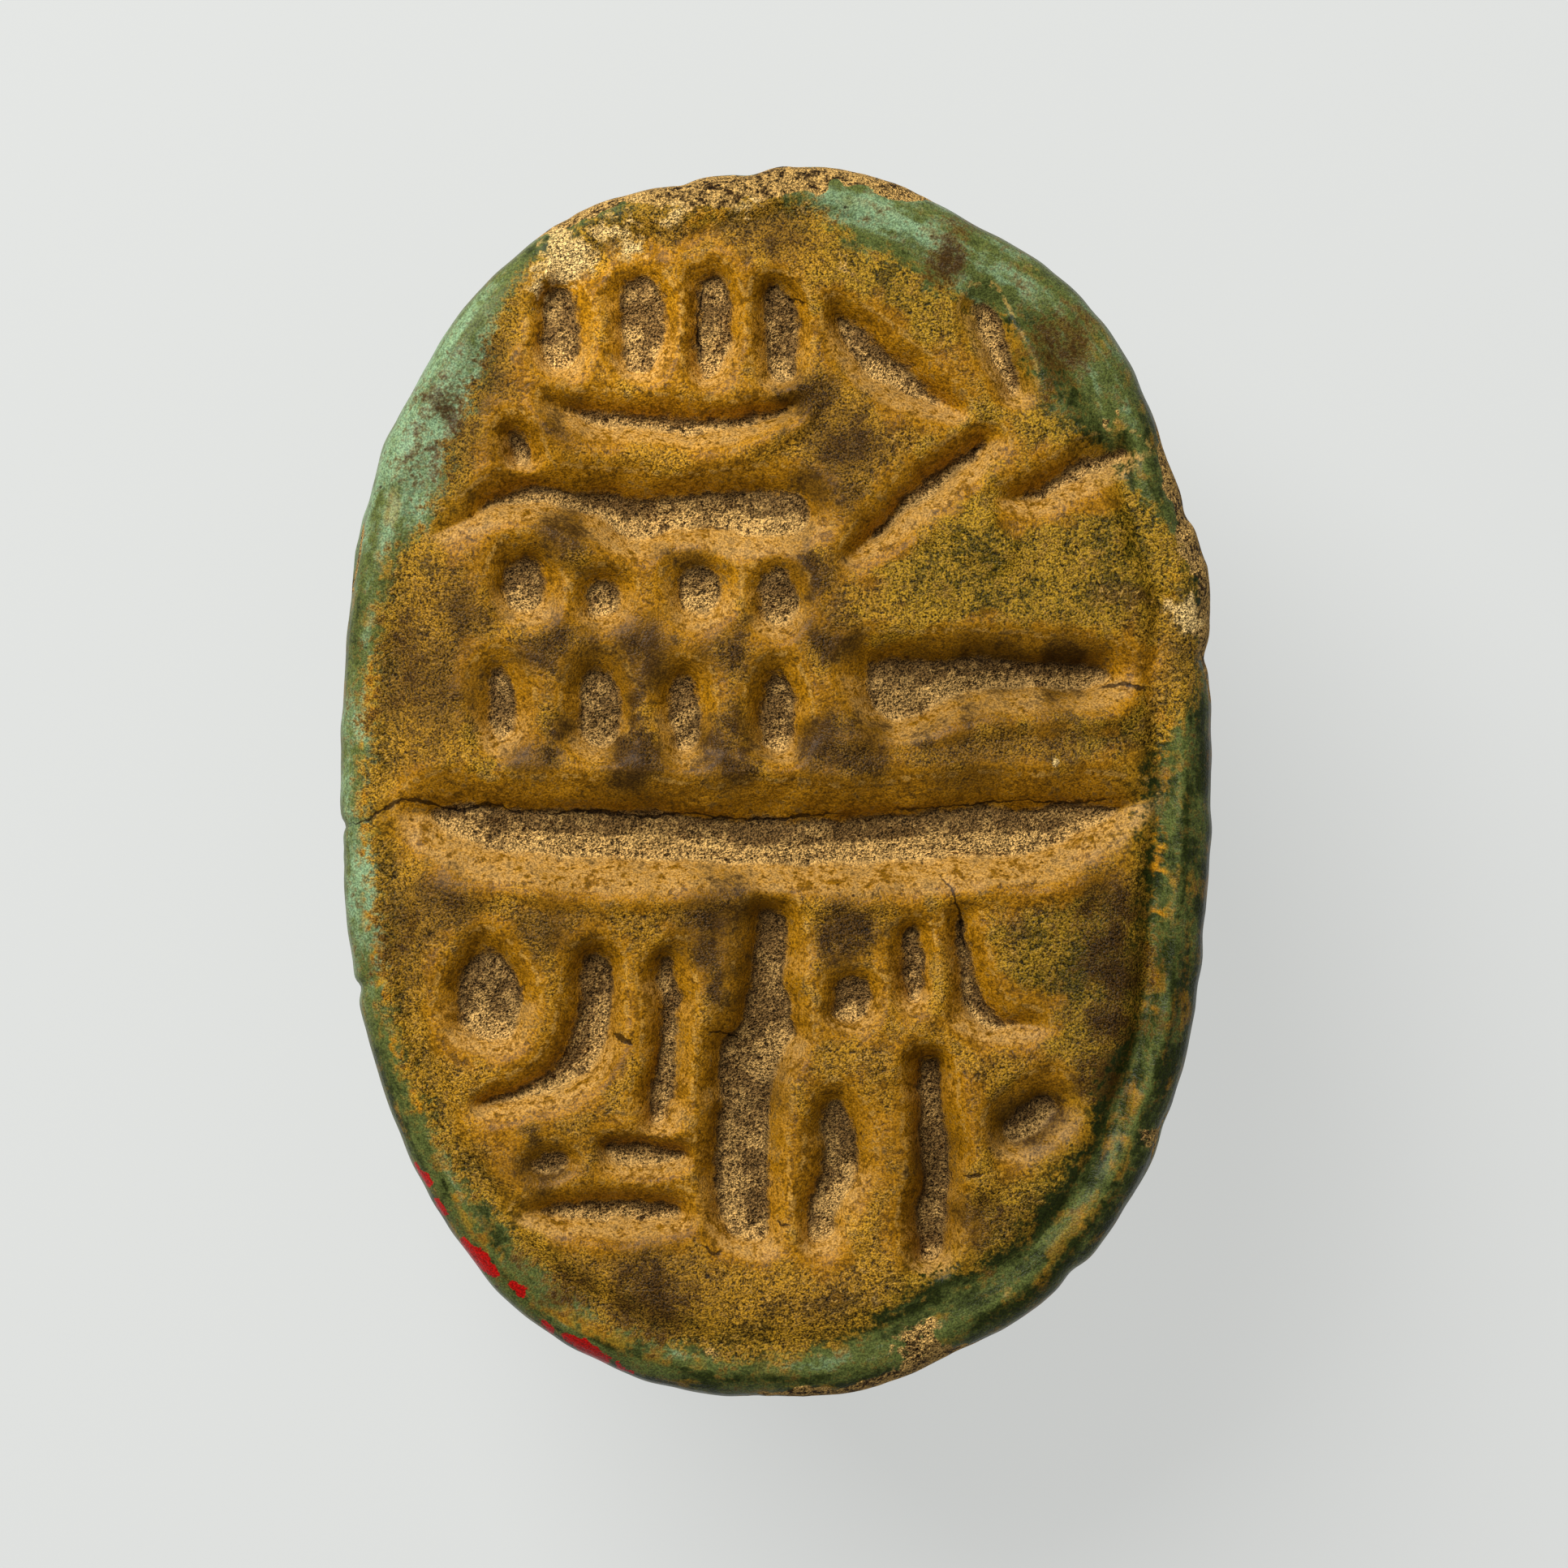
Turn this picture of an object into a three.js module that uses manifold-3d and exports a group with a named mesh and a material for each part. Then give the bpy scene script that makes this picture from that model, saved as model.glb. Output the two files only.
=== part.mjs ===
// Scarab amulet in glazed ceramic: an oval plate with sunk strokes on its flat face, a beetle's
// back on the other side, six legs between them and a cord hole bored through lengthwise.
// Millimetres, +Z up. It lies on the crown of the beetle's back, so the carved face looks up.
// +Y points to the beetle's head. The origin is the middle of its outline, on the ground.
import * as THREE from "three";
import { mergeVertices } from "three/addons/utils/BufferGeometryUtils.js";
import Module from "manifold-3d";

const wasm = await Module();
wasm.setup();

// Driving sizes.
const LENGTH = 17;
const WIDTH = 12;
const HEIGHT = 7.6;
const OVAL_POWER = 2.3; // 2 is an ellipse, more is squarer
const PLATE = 1.5; // thickness of the oval plate
const PLATE_ROUNDING = 0.4; // radius of its long edges
const BACK_DEPTH = 4.4; // from the back's widest line down to the worn crown
const CROWN_WEAR = 0.14; // how much of the crown is worn flat
const BORE_RADIUS = 0.75;
const BORE_Z = 5.2;

const HALF_WIDTH = WIDTH / 2;
const HALF_LENGTH = LENGTH / 2;
const PLATE_BOTTOM = HEIGHT - PLATE;
const OVERLAP = 0.1; // how far joined solids run into each other

// Swells and worn dips of the plate's edge: direction in degrees, spread in degrees, amount.
const EDGE_WEAR = [
  [27, 9, 0.16],
  [51, 8, 0.1],
  [71, 8, -0.17],
  [105, 8, -0.17],
  [139, 10, 0.07],
  [288, 7, -0.11],
  [313, 16, 0.11],
];

// Turns a closed three.js geometry into a solid.
function solid(geometry) {
  const bare = geometry.clone();
  bare.deleteAttribute("normal");
  bare.deleteAttribute("uv");
  const merged = mergeVertices(bare, 1e-4);
  return new wasm.Manifold(
    new wasm.Mesh({
      numProp: 3,
      vertProperties: merged.attributes.position.array,
      triVerts: new Uint32Array(merged.index.array),
    }),
  );
}

function geometryOf(made) {
  const mesh = made.getMesh();
  const geometry = new THREE.BufferGeometry();
  geometry.setAttribute("position", new THREE.BufferAttribute(mesh.vertProperties, 3));
  geometry.setIndex(new THREE.BufferAttribute(mesh.triVerts, 1));
  geometry.computeVertexNormals();
  return geometry;
}

const degrees = THREE.MathUtils.degToRad;
const power = (value, exponent) => Math.sign(value) * Math.abs(value) ** exponent;

function edgeWear(angle) {
  return EDGE_WEAR.reduce((sum, [direction, spread, amount]) => {
    const away = THREE.MathUtils.euclideanModulo(angle - degrees(direction) + Math.PI, 2 * Math.PI) - Math.PI;
    return sum + amount * Math.exp(-((away / degrees(spread)) ** 2));
  }, 0);
}

// A point of the amulet's oval, drawn in by inset. Angle 0 is +X, and 90 degrees the head.
function ovalPoint(angle, inset = 0) {
  const x = (HALF_WIDTH - inset) * power(Math.cos(angle), 2 / OVAL_POWER);
  const y = (HALF_LENGTH - inset) * power(Math.sin(angle), 2 / OVAL_POWER);
  return new THREE.Vector2(x, y);
}

function ovalShape(inset, sides, worn) {
  const points = [];
  for (let i = 0; i < sides; i++) {
    const point = ovalPoint((2 * Math.PI * i) / sides, inset);
    const swell = worn ? edgeWear(point.angle()) : 0;
    points.push(point.setLength(point.length() + swell));
  }
  return new THREE.Shape(points);
}

// The oval plate, with rounded edges and a flat upper face.
function plate() {
  const geometry = new THREE.ExtrudeGeometry(ovalShape(0, 72, true), {
    depth: PLATE - 2 * PLATE_ROUNDING,
    bevelEnabled: true,
    bevelThickness: PLATE_ROUNDING,
    bevelSize: PLATE_ROUNDING,
    bevelOffset: -PLATE_ROUNDING,
    bevelSegments: 3,
    steps: 1,
  });
  return solid(geometry.translate(0, 0, PLATE_BOTTOM + PLATE_ROUNDING));
}

// The belly: what stands between the plate and the back, behind the legs.
function belly() {
  const inset = 0.85;
  const top = PLATE_BOTTOM + OVERLAP;
  const bottom = BACK_DEPTH - OVERLAP;
  const geometry = new THREE.ExtrudeGeometry(ovalShape(inset, 48, false), {
    depth: top - bottom,
    bevelEnabled: false,
  });
  return solid(geometry.translate(0, 0, bottom));
}

// A rounded lump: rx, ry across, up above its widest line and down below it.
function lump({ x = 0, y, z, rx, ry, up, down, across = 40, tall = 16 }) {
  const geometry = new THREE.SphereGeometry(1, across, tall).rotateX(Math.PI / 2);
  const position = geometry.attributes.position;
  for (let i = 0; i < position.count; i++) {
    const height = position.getZ(i);
    position.setXYZ(
      i,
      x + rx * position.getX(i),
      y + ry * position.getY(i),
      z + (height > 0 ? up : down) * height,
    );
  }
  return solid(geometry);
}

const BACK = { y: -0.75, rx: 5.75, ry: 7.45 };

// How far the back's surface lies above the ground at x, y.
function backHeight(x, y) {
  const out = Math.min(1, (x / BACK.rx) ** 2 + ((y - BACK.y) / BACK.ry) ** 2);
  return Math.max(0, BACK_DEPTH - (BACK_DEPTH + CROWN_WEAR) * Math.sqrt(1 - out));
}

function back() {
  return lump({ ...BACK, z: BACK_DEPTH, up: 1.3, down: BACK_DEPTH + CROWN_WEAR, across: 56, tall: 20 });
}

// The head with its flat shovel in front, and an eye at each side.
function head() {
  const skull = lump({ y: 6.1, z: 4.8, rx: 2.8, ry: 1.7, up: 1.5, down: 2.6, across: 24, tall: 12 });
  const shovel = lump({ y: 7.1, z: 5.0, rx: 2.3, ry: 1.2, up: 1.2, down: 1.5, across: 24, tall: 10 });
  const eyes = [-1, 1].map((side) =>
    lump({ x: side * 2.6, y: 6.4, z: 4.6, rx: 0.65, ry: 0.8, up: 0.9, down: 1.3, across: 14, tall: 8 }),
  );
  return [skull, shovel, ...eyes];
}

// Each leg is a ridge round the side. Its points are [direction along the oval in degrees, inset,
// height], and both its ends are buried, in the back or in the plate.
const LEGS = [
  [[34, 1.4, 4.2], [40, 0.85, 4.75], [56, 0.75, 5.3], [70, 0.85, 5.75], [76, 1.5, 6.5]],
  [[26, 1.4, 4.1], [20, 0.8, 4.7], [4, 0.65, 5.25], [-12, 0.7, 5.8], [-18, 1.3, 6.5]],
  [[-1, 1.4, 4.1], [-8, 0.8, 4.65], [-32, 0.7, 5.1], [-56, 0.8, 5.7], [-66, 1.5, 6.5]],
  [[-24, 1.5, 6.5], [-30, 0.75, 5.95], [-50, 0.75, 5.0], [-64, 0.85, 4.8], [-72, 1.4, 4.2]],
];
const LEG_RADIUS = 0.48;

function legs() {
  const section = new THREE.Shape();
  section.absarc(0, 0, LEG_RADIUS, 0, 2 * Math.PI);
  const ridge = (points, side) => {
    const path = points.map(([angle, inset, z]) => {
      const point = ovalPoint(degrees(angle), inset);
      return new THREE.Vector3(side * point.x, point.y, z);
    });
    return solid(
      new THREE.ExtrudeGeometry(section, {
        extrudePath: new THREE.CatmullRomCurve3(path),
        steps: 12,
        curveSegments: 5,
        bevelEnabled: false,
      }),
    );
  };
  return LEGS.flatMap((points) => [ridge(points, -1), ridge(points, 1)]);
}

// A groove of round section along a line drawn on the beetle's back.
function groove(plan, radius, depth, steps) {
  const points = [];
  for (let i = 0; i <= steps; i++) {
    const [x, y] = plan(i / steps);
    points.push(new THREE.Vector3(x, y, backHeight(x, y) - radius + depth));
  }
  const section = new THREE.Shape();
  section.absarc(0, 0, radius, 0, 2 * Math.PI);
  const geometry = new THREE.ExtrudeGeometry(section, {
    extrudePath: new THREE.CatmullRomCurve3(points),
    steps,
    curveSegments: 4,
    bevelEnabled: false,
  });
  return solid(geometry);
}

// The seam between the wing cases and the line that parts them from the shoulder shield.
const SHIELD_Y = 2.3;
const SHIELD_BOW = 0.75; // how far its middle bows towards the tail
const SHIELD_REACH = 5.24; // where the line meets the back's edge
function backGrooves() {
  const seamStart = Math.asin((BACK.y - SHIELD_Y + SHIELD_BOW) / BACK.ry);
  const seam = groove(
    (t) => [0, BACK.y - BACK.ry * Math.sin(THREE.MathUtils.lerp(seamStart, degrees(86), t))],
    0.3,
    0.14,
    16,
  );
  const shield = groove(
    (t) => {
      const across = Math.sin(degrees(THREE.MathUtils.lerp(-90, 90, t)));
      return [SHIELD_REACH * across, SHIELD_Y - SHIELD_BOW * (1 - across ** 2)];
    },
    0.32,
    0.17,
    20,
  );
  return [seam, shield];
}

// A sunk stroke is a chain of round dabs, [x, y, half width], each joined to the next, cut to one
// depth with sloping sides.
const STROKE_SLOPE = 0.16; // how much narrower the floor is, each side

function dabLink([x0, y0, r0], [x1, y1, r1], depth) {
  const along = Math.atan2(y1 - y0, x1 - x0);
  const steps = 5;
  const ring = (grow, z) => {
    const points = [];
    for (const [x, y, r, turn] of [[x1, y1, r1, -0.5], [x0, y0, r0, 0.5]]) {
      for (let i = 0; i <= steps; i++) {
        const angle = along + Math.PI * (turn + i / steps);
        points.push(new THREE.Vector3(x + (r + grow) * Math.cos(angle), y + (r + grow) * Math.sin(angle), z));
      }
    }
    return points;
  };
  const lift = 0.2;
  const shrink = Math.min(STROKE_SLOPE, 0.6 * Math.min(r0, r1));
  const floor = ring(-shrink, HEIGHT - depth);
  const mouth = ring((shrink * lift) / depth, HEIGHT + lift);
  const count = floor.length;
  const faces = [];
  for (let i = 0; i < count; i++) {
    const next = (i + 1) % count;
    faces.push(i, next, count + i, next, count + next, count + i);
  }
  for (let i = 1; i + 1 < count; i++) {
    faces.push(0, i + 1, i, count, count + i, count + i + 1);
  }
  const geometry = new THREE.BufferGeometry().setFromPoints([...floor, ...mouth]);
  geometry.setIndex(faces);
  return solid(geometry);
}

function stroke(depth, ...dabs) {
  if (dabs.length === 1) dabs.push([dabs[0][0], dabs[0][1] + 0.01, dabs[0][2]]);
  return dabs.slice(1).map((dab, i) => dabLink(dabs[i], dab, depth));
}

// A row of like strokes: pitch apart along X, each reaching half its height above and below y.
function row({ x, y, pitch, count, height, halfWidth, depth, lean = 0 }) {
  const strokes = [];
  for (let i = 0; i < count; i++) {
    const middle = x + pitch * i;
    const reach = height / 2 - halfWidth;
    strokes.push(...stroke(depth, [middle - lean, y - reach, halfWidth], [middle + lean, y + reach, halfWidth]));
  }
  return strokes;
}

// The carving on the plate's face, from the head end down.
function carving() {
  return [
    ...row({ x: -2.8, y: 5.95, pitch: 0.93, count: 4, height: 2.15, halfWidth: 0.3, depth: 0.4 }),
    ...stroke(0.45, [0.85, 6.1, 0.2], [1.5, 5.6, 0.4], [2.25, 5.2, 0.14]),
    ...stroke(0.45, [2.75, 6.45, 0.28], [3.3, 5.3, 0.2]),
    ...stroke(0.45, [3.1, 3.85, 0.18], [4.8, 4.45, 0.3]),
    ...stroke(0.45, [0.95, 3.2, 0.18], [2.45, 4.45, 0.3]),
    ...stroke(0.45, [-4.7, 3.3, 0.16], [-3.3, 4.1, 0.26], [-1.9, 3.9, 0.5], [0.3, 3.95, 0.42]),
    ...row({ x: -3.55, y: 2.6, pitch: 1.2, count: 4, height: 1.25, halfWidth: 0.45, depth: 0.45 }),
    ...row({ x: -3.75, y: 1.0, pitch: 1.27, count: 4, height: 1.35, halfWidth: 0.43, depth: 0.45 }),
    ...stroke(0.5, [1.6, 1.3, 0.58], [2.25, 1.45, 0.38], [4.5, 1.6, 0.32]),
    ...stroke(0.55, [-4.85, -0.65, 0.24], [-3.7, -0.85, 0.58], [3.3, -0.8, 0.58], [4.75, -0.45, 0.28]),
    ...stroke(0.45, [-4.0, -2.75, 0.52], [-3.9, -3.2, 0.52]),
    ...stroke(0.45, [-2.55, -2.4, 0.32], [-2.75, -3.6, 0.34], [-3.9, -4.5, 0.18]),
    ...stroke(0.45, [-1.5, -2.4, 0.36], [-1.5, -4.3, 0.3]),
    ...stroke(0.3, [-2.3, -5.0, 0.2], [-1.35, -5.0, 0.22]),
    ...stroke(0.45, [-3.35, -5.95, 0.14], [-2.3, -5.85, 0.34], [-1.45, -5.75, 0.26]),
    ...stroke(0.55, [-0.35, -2.1, 0.36], [-0.3, -3.4, 0.5], [-0.3, -5.9, 0.62]),
    ...stroke(0.3, [1.0, -3.05, 0.42]),
    ...stroke(0.45, [1.3, -4.4, 0.28], [1.0, -5.8, 0.38]),
    ...stroke(0.45, [1.95, -1.85, 0.26], [1.95, -2.95, 0.28]),
    ...stroke(0.45, [2.8, -1.85, 0.22], [2.95, -2.8, 0.28], [3.65, -3.2, 0.15]),
    ...stroke(0.55, [2.25, -3.95, 0.34], [2.25, -6.3, 0.36]),
    ...stroke(0.55, [3.4, -4.45, 0.46], [3.65, -4.75, 0.46]),
  ];
}

function bore() {
  return solid(new THREE.CylinderGeometry(BORE_RADIUS, BORE_RADIUS, 2 * LENGTH, 20).translate(0, 0, BORE_Z));
}

// What the worn crown leaves out: everything below the ground.
function ground() {
  const side = 2 * LENGTH;
  return solid(new THREE.BoxGeometry(side, side, side).translate(0, 0, -side / 2));
}

function amulet() {
  const joined = wasm.Manifold.union([plate(), belly(), back(), ...head(), ...legs()]);
  const cuts = wasm.Manifold.union([bore(), ground(), ...backGrooves(), ...carving()]);
  return joined.subtract(cuts);
}

const glaze = new THREE.MeshStandardMaterial({ color: 0x8c6a2e, roughness: 0.55, metalness: 0 });

const scarab = new THREE.Mesh(geometryOf(amulet()), glaze);
scarab.name = "scarab";

const group = new THREE.Group();
group.add(scarab);

export default group;
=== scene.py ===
"""A scarab amulet in glazed ceramic, lying on its beetle back with its carved oval face up.

The whole amulet is one closed mesh, worked out in millimetres and then set to metres. +Y is the
beetle's head end and +Z comes up out of the carved face.
"""

import math

import bpy
import numpy as np
from mathutils import Matrix, Vector


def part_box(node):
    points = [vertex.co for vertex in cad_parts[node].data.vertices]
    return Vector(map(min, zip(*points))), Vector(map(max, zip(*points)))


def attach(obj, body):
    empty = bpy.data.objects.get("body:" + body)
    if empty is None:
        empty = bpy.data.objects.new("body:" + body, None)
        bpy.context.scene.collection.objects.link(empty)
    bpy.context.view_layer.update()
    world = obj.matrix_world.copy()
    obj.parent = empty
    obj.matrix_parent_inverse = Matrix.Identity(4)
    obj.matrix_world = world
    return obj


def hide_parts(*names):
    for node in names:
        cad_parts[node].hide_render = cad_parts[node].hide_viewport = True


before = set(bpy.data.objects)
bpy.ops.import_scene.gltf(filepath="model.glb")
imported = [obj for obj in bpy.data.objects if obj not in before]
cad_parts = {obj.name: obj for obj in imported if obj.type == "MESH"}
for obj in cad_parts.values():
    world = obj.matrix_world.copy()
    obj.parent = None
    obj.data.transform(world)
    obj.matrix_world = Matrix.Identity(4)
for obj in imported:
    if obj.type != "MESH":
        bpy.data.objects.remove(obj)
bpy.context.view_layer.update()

MM = 0.001
TOP_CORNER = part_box("scarab")[1]

# The amulet's own sizes, in millimetres.
LENGTH = 17.0
WIDTH = 12.0
HEIGHT = TOP_CORNER[2] / MM
OVAL_POWER = 2.3  # 2 is an ellipse, more is squarer
PLATE = 1.5
PLATE_BOTTOM = HEIGHT - PLATE
PLATE_ROUNDING = 0.42  # of the plate's upper edge
UNDER_ROUNDING = 0.32  # of its lower edge
MEAN_RADIUS = 7  # turns a direction into a rough length round the side
BACK_DEPTH = 4.4
CROWN_WEAR = 0.14
BORE_RADIUS = 0.75
BORE_WAVE = 0.02
BORE_Z = 5.2


def smooth(value, low=0.0, high=1.0):
    """0 at low and 1 at high, with soft ends. low may be the larger."""
    t = np.clip((value - low) / (high - low), 0, 1)
    return t * t * (3 - 2 * t)


def bell(value, middle, width):
    """1 at the middle, falling off softly to both sides."""
    return np.exp(-(((value - middle) / width) ** 2))


class Ripple:
    """Smooth seeded unevenness over a plane, between -1 and 1."""

    CELLS = 128

    def __init__(self, size, seed):
        self.size = size
        self.heights = np.random.default_rng(seed).uniform(-1, 1, (self.CELLS, self.CELLS))

    def corner(self, i, j):
        return self.heights[i % self.CELLS, j % self.CELLS]

    def __call__(self, x, y):
        u, v = x / self.size, y / self.size
        i, j = np.floor(u).astype(int), np.floor(v).astype(int)
        s, t = smooth(u - i), smooth(v - j)
        near = self.corner(i, j) * (1 - s) + self.corner(i + 1, j) * s
        far = self.corner(i, j + 1) * (1 - s) + self.corner(i + 1, j + 1) * s
        return near * (1 - t) + far * t


# ---------------------------------------------------------------- the oval

# Swells and worn dips of the plate's edge: direction and spread in degrees, and amount.
EDGE_WEAR = [
    (27, 9, 0.16), (51, 8, 0.1), (71, 8, -0.17), (99, 8, -0.15), (139, 10, 0.07), (288, 7, -0.11),
    (313, 16, 0.11),
]
# Small nicks knocked out of the edge, in the same terms.
NICKS = [
    (92.5, 2.0, -0.06), (99, 1.2, -0.03), (206.5, 1.0, -0.07), (186, 0.8, -0.05), (33, 1.5, -0.06),
    (40, 2.5, -0.04), (16, 1.2, -0.05), (301, 1.5, -0.06), (318, 2.0, -0.05),
]


def turn_from(angle, direction):
    """The turn in degrees from a direction, between -180 and 180."""
    return (np.degrees(angle) - direction + 180) % 360 - 180


def edge_shift(angle, swells):
    return sum(amount * bell(turn_from(angle, way), 0, spread) for way, spread, amount in swells)


def oval(angle, inset=0.0):
    """A point of the oval, drawn in by inset. Angle 0 is +X, and 90 degrees the head."""
    bend = 2 / OVAL_POWER
    c, s = np.cos(angle), np.sin(angle)
    x = (WIDTH / 2 - inset) * np.sign(c) * np.abs(c) ** bend
    y = (LENGTH / 2 - inset) * np.sign(s) * np.abs(s) ** bend
    return x, y


def worn_oval(angle, swells):
    x, y = oval(angle)
    uneven = 0.03 * Ripple(0.9, 16)(x, y) + 0.015 * Ripple(0.35, 17)(x, y)
    scale = 1 + (edge_shift(np.arctan2(y, x), swells) + uneven) / np.hypot(x, y)
    return x * scale, y * scale


# ---------------------------------------------------------------- the carving

# A stroke is its depth, how wide its sloping wall is, and the corners of its mouth.
STROKES = [
    # four uprights and a long one under them
    (0.28, 0.18, [(-3.3, 5.6), (-3.28, 6.6), (-3.05, 6.88), (-2.62, 6.75), (-2.66, 5.6)]),
    (0.3, 0.2, [(-2.2, 5.55), (-2.25, 6.85), (-1.9, 7.0), (-1.52, 6.8), (-1.5, 5.55)]),
    (0.3, 0.16, [(-1.15, 5.55), (-1.2, 6.9), (-0.85, 7.05), (-0.6, 6.8), (-0.62, 5.5)]),
    (0.28, 0.18, [(-0.28, 5.55), (-0.25, 6.8), (0.1, 6.9), (0.32, 6.6), (0.35, 5.55), (0.05, 5.42)]),
    (0.34, 0.24, [(-3.25, 5.2), (-2.6, 5.2), (-1.4, 5.1), (-0.2, 5.12), (0.3, 5.28), (0.2, 4.95),
        (-0.6, 4.72), (-1.8, 4.68), (-2.8, 4.85)]),
    # four slanting strokes
    (0.34, 0.28, [(0.72, 6.4), (1.0, 6.45), (1.5, 6.1), (2.2, 5.45), (2.6, 4.98), (2.3, 4.98),
        (1.3, 5.35), (0.85, 5.9)]),
    (0.3, 0.22, [(2.5, 6.45), (2.85, 6.72), (3.1, 6.45), (3.5, 5.45), (3.3, 5.2), (3.1, 5.3)]),
    (0.34, 0.28, [(3.05, 3.85), (3.4, 3.68), (4.3, 4.0), (5.0, 4.35), (4.85, 4.65), (4.3, 4.55),
        (3.6, 4.2)]),
    (0.36, 0.3, [(2.85, 4.82), (3.1, 4.55), (2.3, 3.8), (1.5, 3.2), (0.75, 2.95), (1.2, 3.5),
        (1.9, 4.2)]),
    # the long wedge
    (0.34, 0.36, [(-4.9, 3.2), (-4.2, 3.85), (-3.5, 4.25), (-2.9, 4.2), (-1.8, 4.02), (-0.5, 4.15),
        (0.5, 4.1), (0.62, 3.5), (0.2, 3.05), (-1.2, 3.25), (-2.0, 3.05), (-2.6, 3.5), (-3.5, 3.62)]),
    (0.3, 0.2, [(-3.8, 4.8), (-3.45, 4.9), (-3.25, 4.5), (-3.35, 4.2), (-3.65, 4.3)]),
    # two rows of pits
    (0.27, 0.24, [(-3.85, 2.6), (-3.75, 3.05), (-3.4, 3.2), (-3.1, 3.05), (-3.0, 2.5), (-3.2, 2.22),
        (-3.65, 2.2)]),
    (0.22, 0.22, [(-2.7, 2.2), (-2.7, 2.75), (-2.35, 2.85), (-2.05, 2.6), (-2.05, 2.2), (-2.4, 2.1)]),
    (0.26, 0.26, [(-1.5, 2.55), (-1.4, 3.0), (-1.05, 3.1), (-0.68, 2.9), (-0.65, 2.45), (-0.95, 2.18),
        (-1.35, 2.22)]),
    (0.24, 0.2, [(-0.35, 2.2), (-0.35, 2.85), (0.05, 3.0), (0.3, 2.7), (0.3, 2.2), (0.0, 1.95)]),
    (0.26, 0.28, [(-4.15, 0.9), (-4.1, 1.5), (-3.8, 1.7), (-3.5, 1.45), (-3.45, 0.75), (-3.75, 0.42),
        (-4.05, 0.55)]),
    (0.32, 0.24, [(-2.85, 0.7), (-2.8, 1.55), (-2.4, 1.65), (-2.05, 1.45), (-2.05, 0.55), (-2.4, 0.35),
        (-2.7, 0.42)]),
    (0.28, 0.26, [(-1.55, 0.75), (-1.6, 1.35), (-1.3, 1.65), (-0.95, 1.45), (-0.9, 0.5), (-1.25, 0.3),
        (-1.5, 0.45)]),
    (0.24, 0.22, [(-0.3, 0.6), (-0.25, 1.45), (0.05, 1.6), (0.3, 1.4), (0.38, 0.6), (0.1, 0.28),
        (-0.2, 0.38)]),
    # the slot with a wide end
    (0.4, 0.4, [(1.05, 1.7), (1.5, 1.98), (2.2, 1.88), (3.4, 1.85), (4.55, 1.85), (4.9, 1.5),
        (4.6, 1.08), (3.4, 1.0), (2.5, 0.95), (2.05, 0.68), (1.5, 0.6), (1.05, 1.0)]),
    # the long bar
    (0.42, 0.5, [(-5.2, -0.42), (-4.7, -0.05), (-3.4, -0.05), (-1.5, -0.15), (0.2, -0.2), (2.5, -0.12),
        (4.9, 0.0), (5.15, -0.35), (4.5, -1.0), (3.3, -1.38), (0.2, -1.45), (-2.2, -1.42),
        (-3.9, -1.35), (-4.8, -0.9)]),
    # the lower strokes
    (0.32, 0.26, [(-4.5, -2.6), (-4.25, -2.2), (-3.85, -2.15), (-3.5, -2.6), (-3.4, -3.3),
        (-3.75, -3.75), (-4.3, -3.5), (-4.55, -3.05)]),
    (0.34, 0.24, [(-2.85, -2.5), (-2.5, -2.2), (-2.15, -2.4), (-2.2, -3.3), (-2.45, -4.05),
        (-3.2, -4.45), (-4.1, -4.65), (-4.15, -4.4), (-3.3, -4.05), (-2.85, -3.4)]),
    (0.32, 0.24, [(-1.7, -2.35), (-1.4, -2.25), (-1.25, -2.6), (-1.25, -3.7), (-1.35, -4.75),
        (-1.8, -4.8), (-1.78, -4.0), (-1.65, -3.1)]),
    (0.32, 0.16, [(-2.5, -5.0), (-2.2, -4.9), (-1.3, -4.95), (-1.2, -5.15), (-1.4, -5.3),
        (-2.35, -5.28)]),
    (0.34, 0.28, [(-3.6, -6.0), (-3.1, -5.7), (-2.0, -5.6), (-1.25, -5.7), (-1.15, -5.95),
        (-1.3, -6.12), (-2.2, -6.18), (-3.2, -6.18)]),
    (0.24, 0.16, [(-3.5, -5.3), (-3.05, -5.0), (-2.75, -5.2), (-3.15, -5.5)]),
    (0.38, 0.3, [(-0.45, -1.75), (0.1, -1.65), (0.3, -2.0), (0.3, -2.95), (0.45, -3.6), (0.1, -3.95),
        (0.05, -5.3), (0.0, -6.4), (-0.5, -6.5), (-0.95, -6.1), (-1.0, -5.0), (-0.95, -3.7),
        (-0.5, -3.1)]),
    (0.3, 0.24, [(0.6, -4.25), (1.1, -4.2), (1.28, -5.2), (0.95, -5.8), (0.95, -6.4), (0.35, -6.45),
        (0.32, -5.75), (0.6, -5.2)]),
    (0.2, 0.18, [(0.7, -2.9), (0.85, -2.6), (1.2, -2.6), (1.4, -2.9), (1.3, -3.3), (1.0, -3.42),
        (0.75, -3.25)]),
    (0.3, 0.18, [(1.62, -2.1), (1.8, -1.9), (2.02, -2.0), (2.08, -3.0), (1.85, -3.15), (1.65, -3.0)]),
    (0.32, 0.24, [(2.38, -1.85), (2.65, -1.75), (2.78, -2.1), (2.8, -2.85), (3.1, -3.22), (3.7, -3.35),
        (3.6, -3.55), (2.7, -3.55), (2.4, -3.1)]),
    (0.38, 0.24, [(1.82, -3.8), (2.1, -3.68), (2.38, -3.8), (2.35, -4.4), (2.5, -4.9), (2.45, -6.5),
        (2.1, -6.7), (1.78, -6.5), (1.85, -4.9)]),
    (0.36, 0.34, [(2.95, -4.75), (3.2, -4.4), (3.65, -4.1), (4.05, -4.2), (4.1, -4.6), (3.75, -5.0),
        (3.2, -5.2)]),
]

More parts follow.
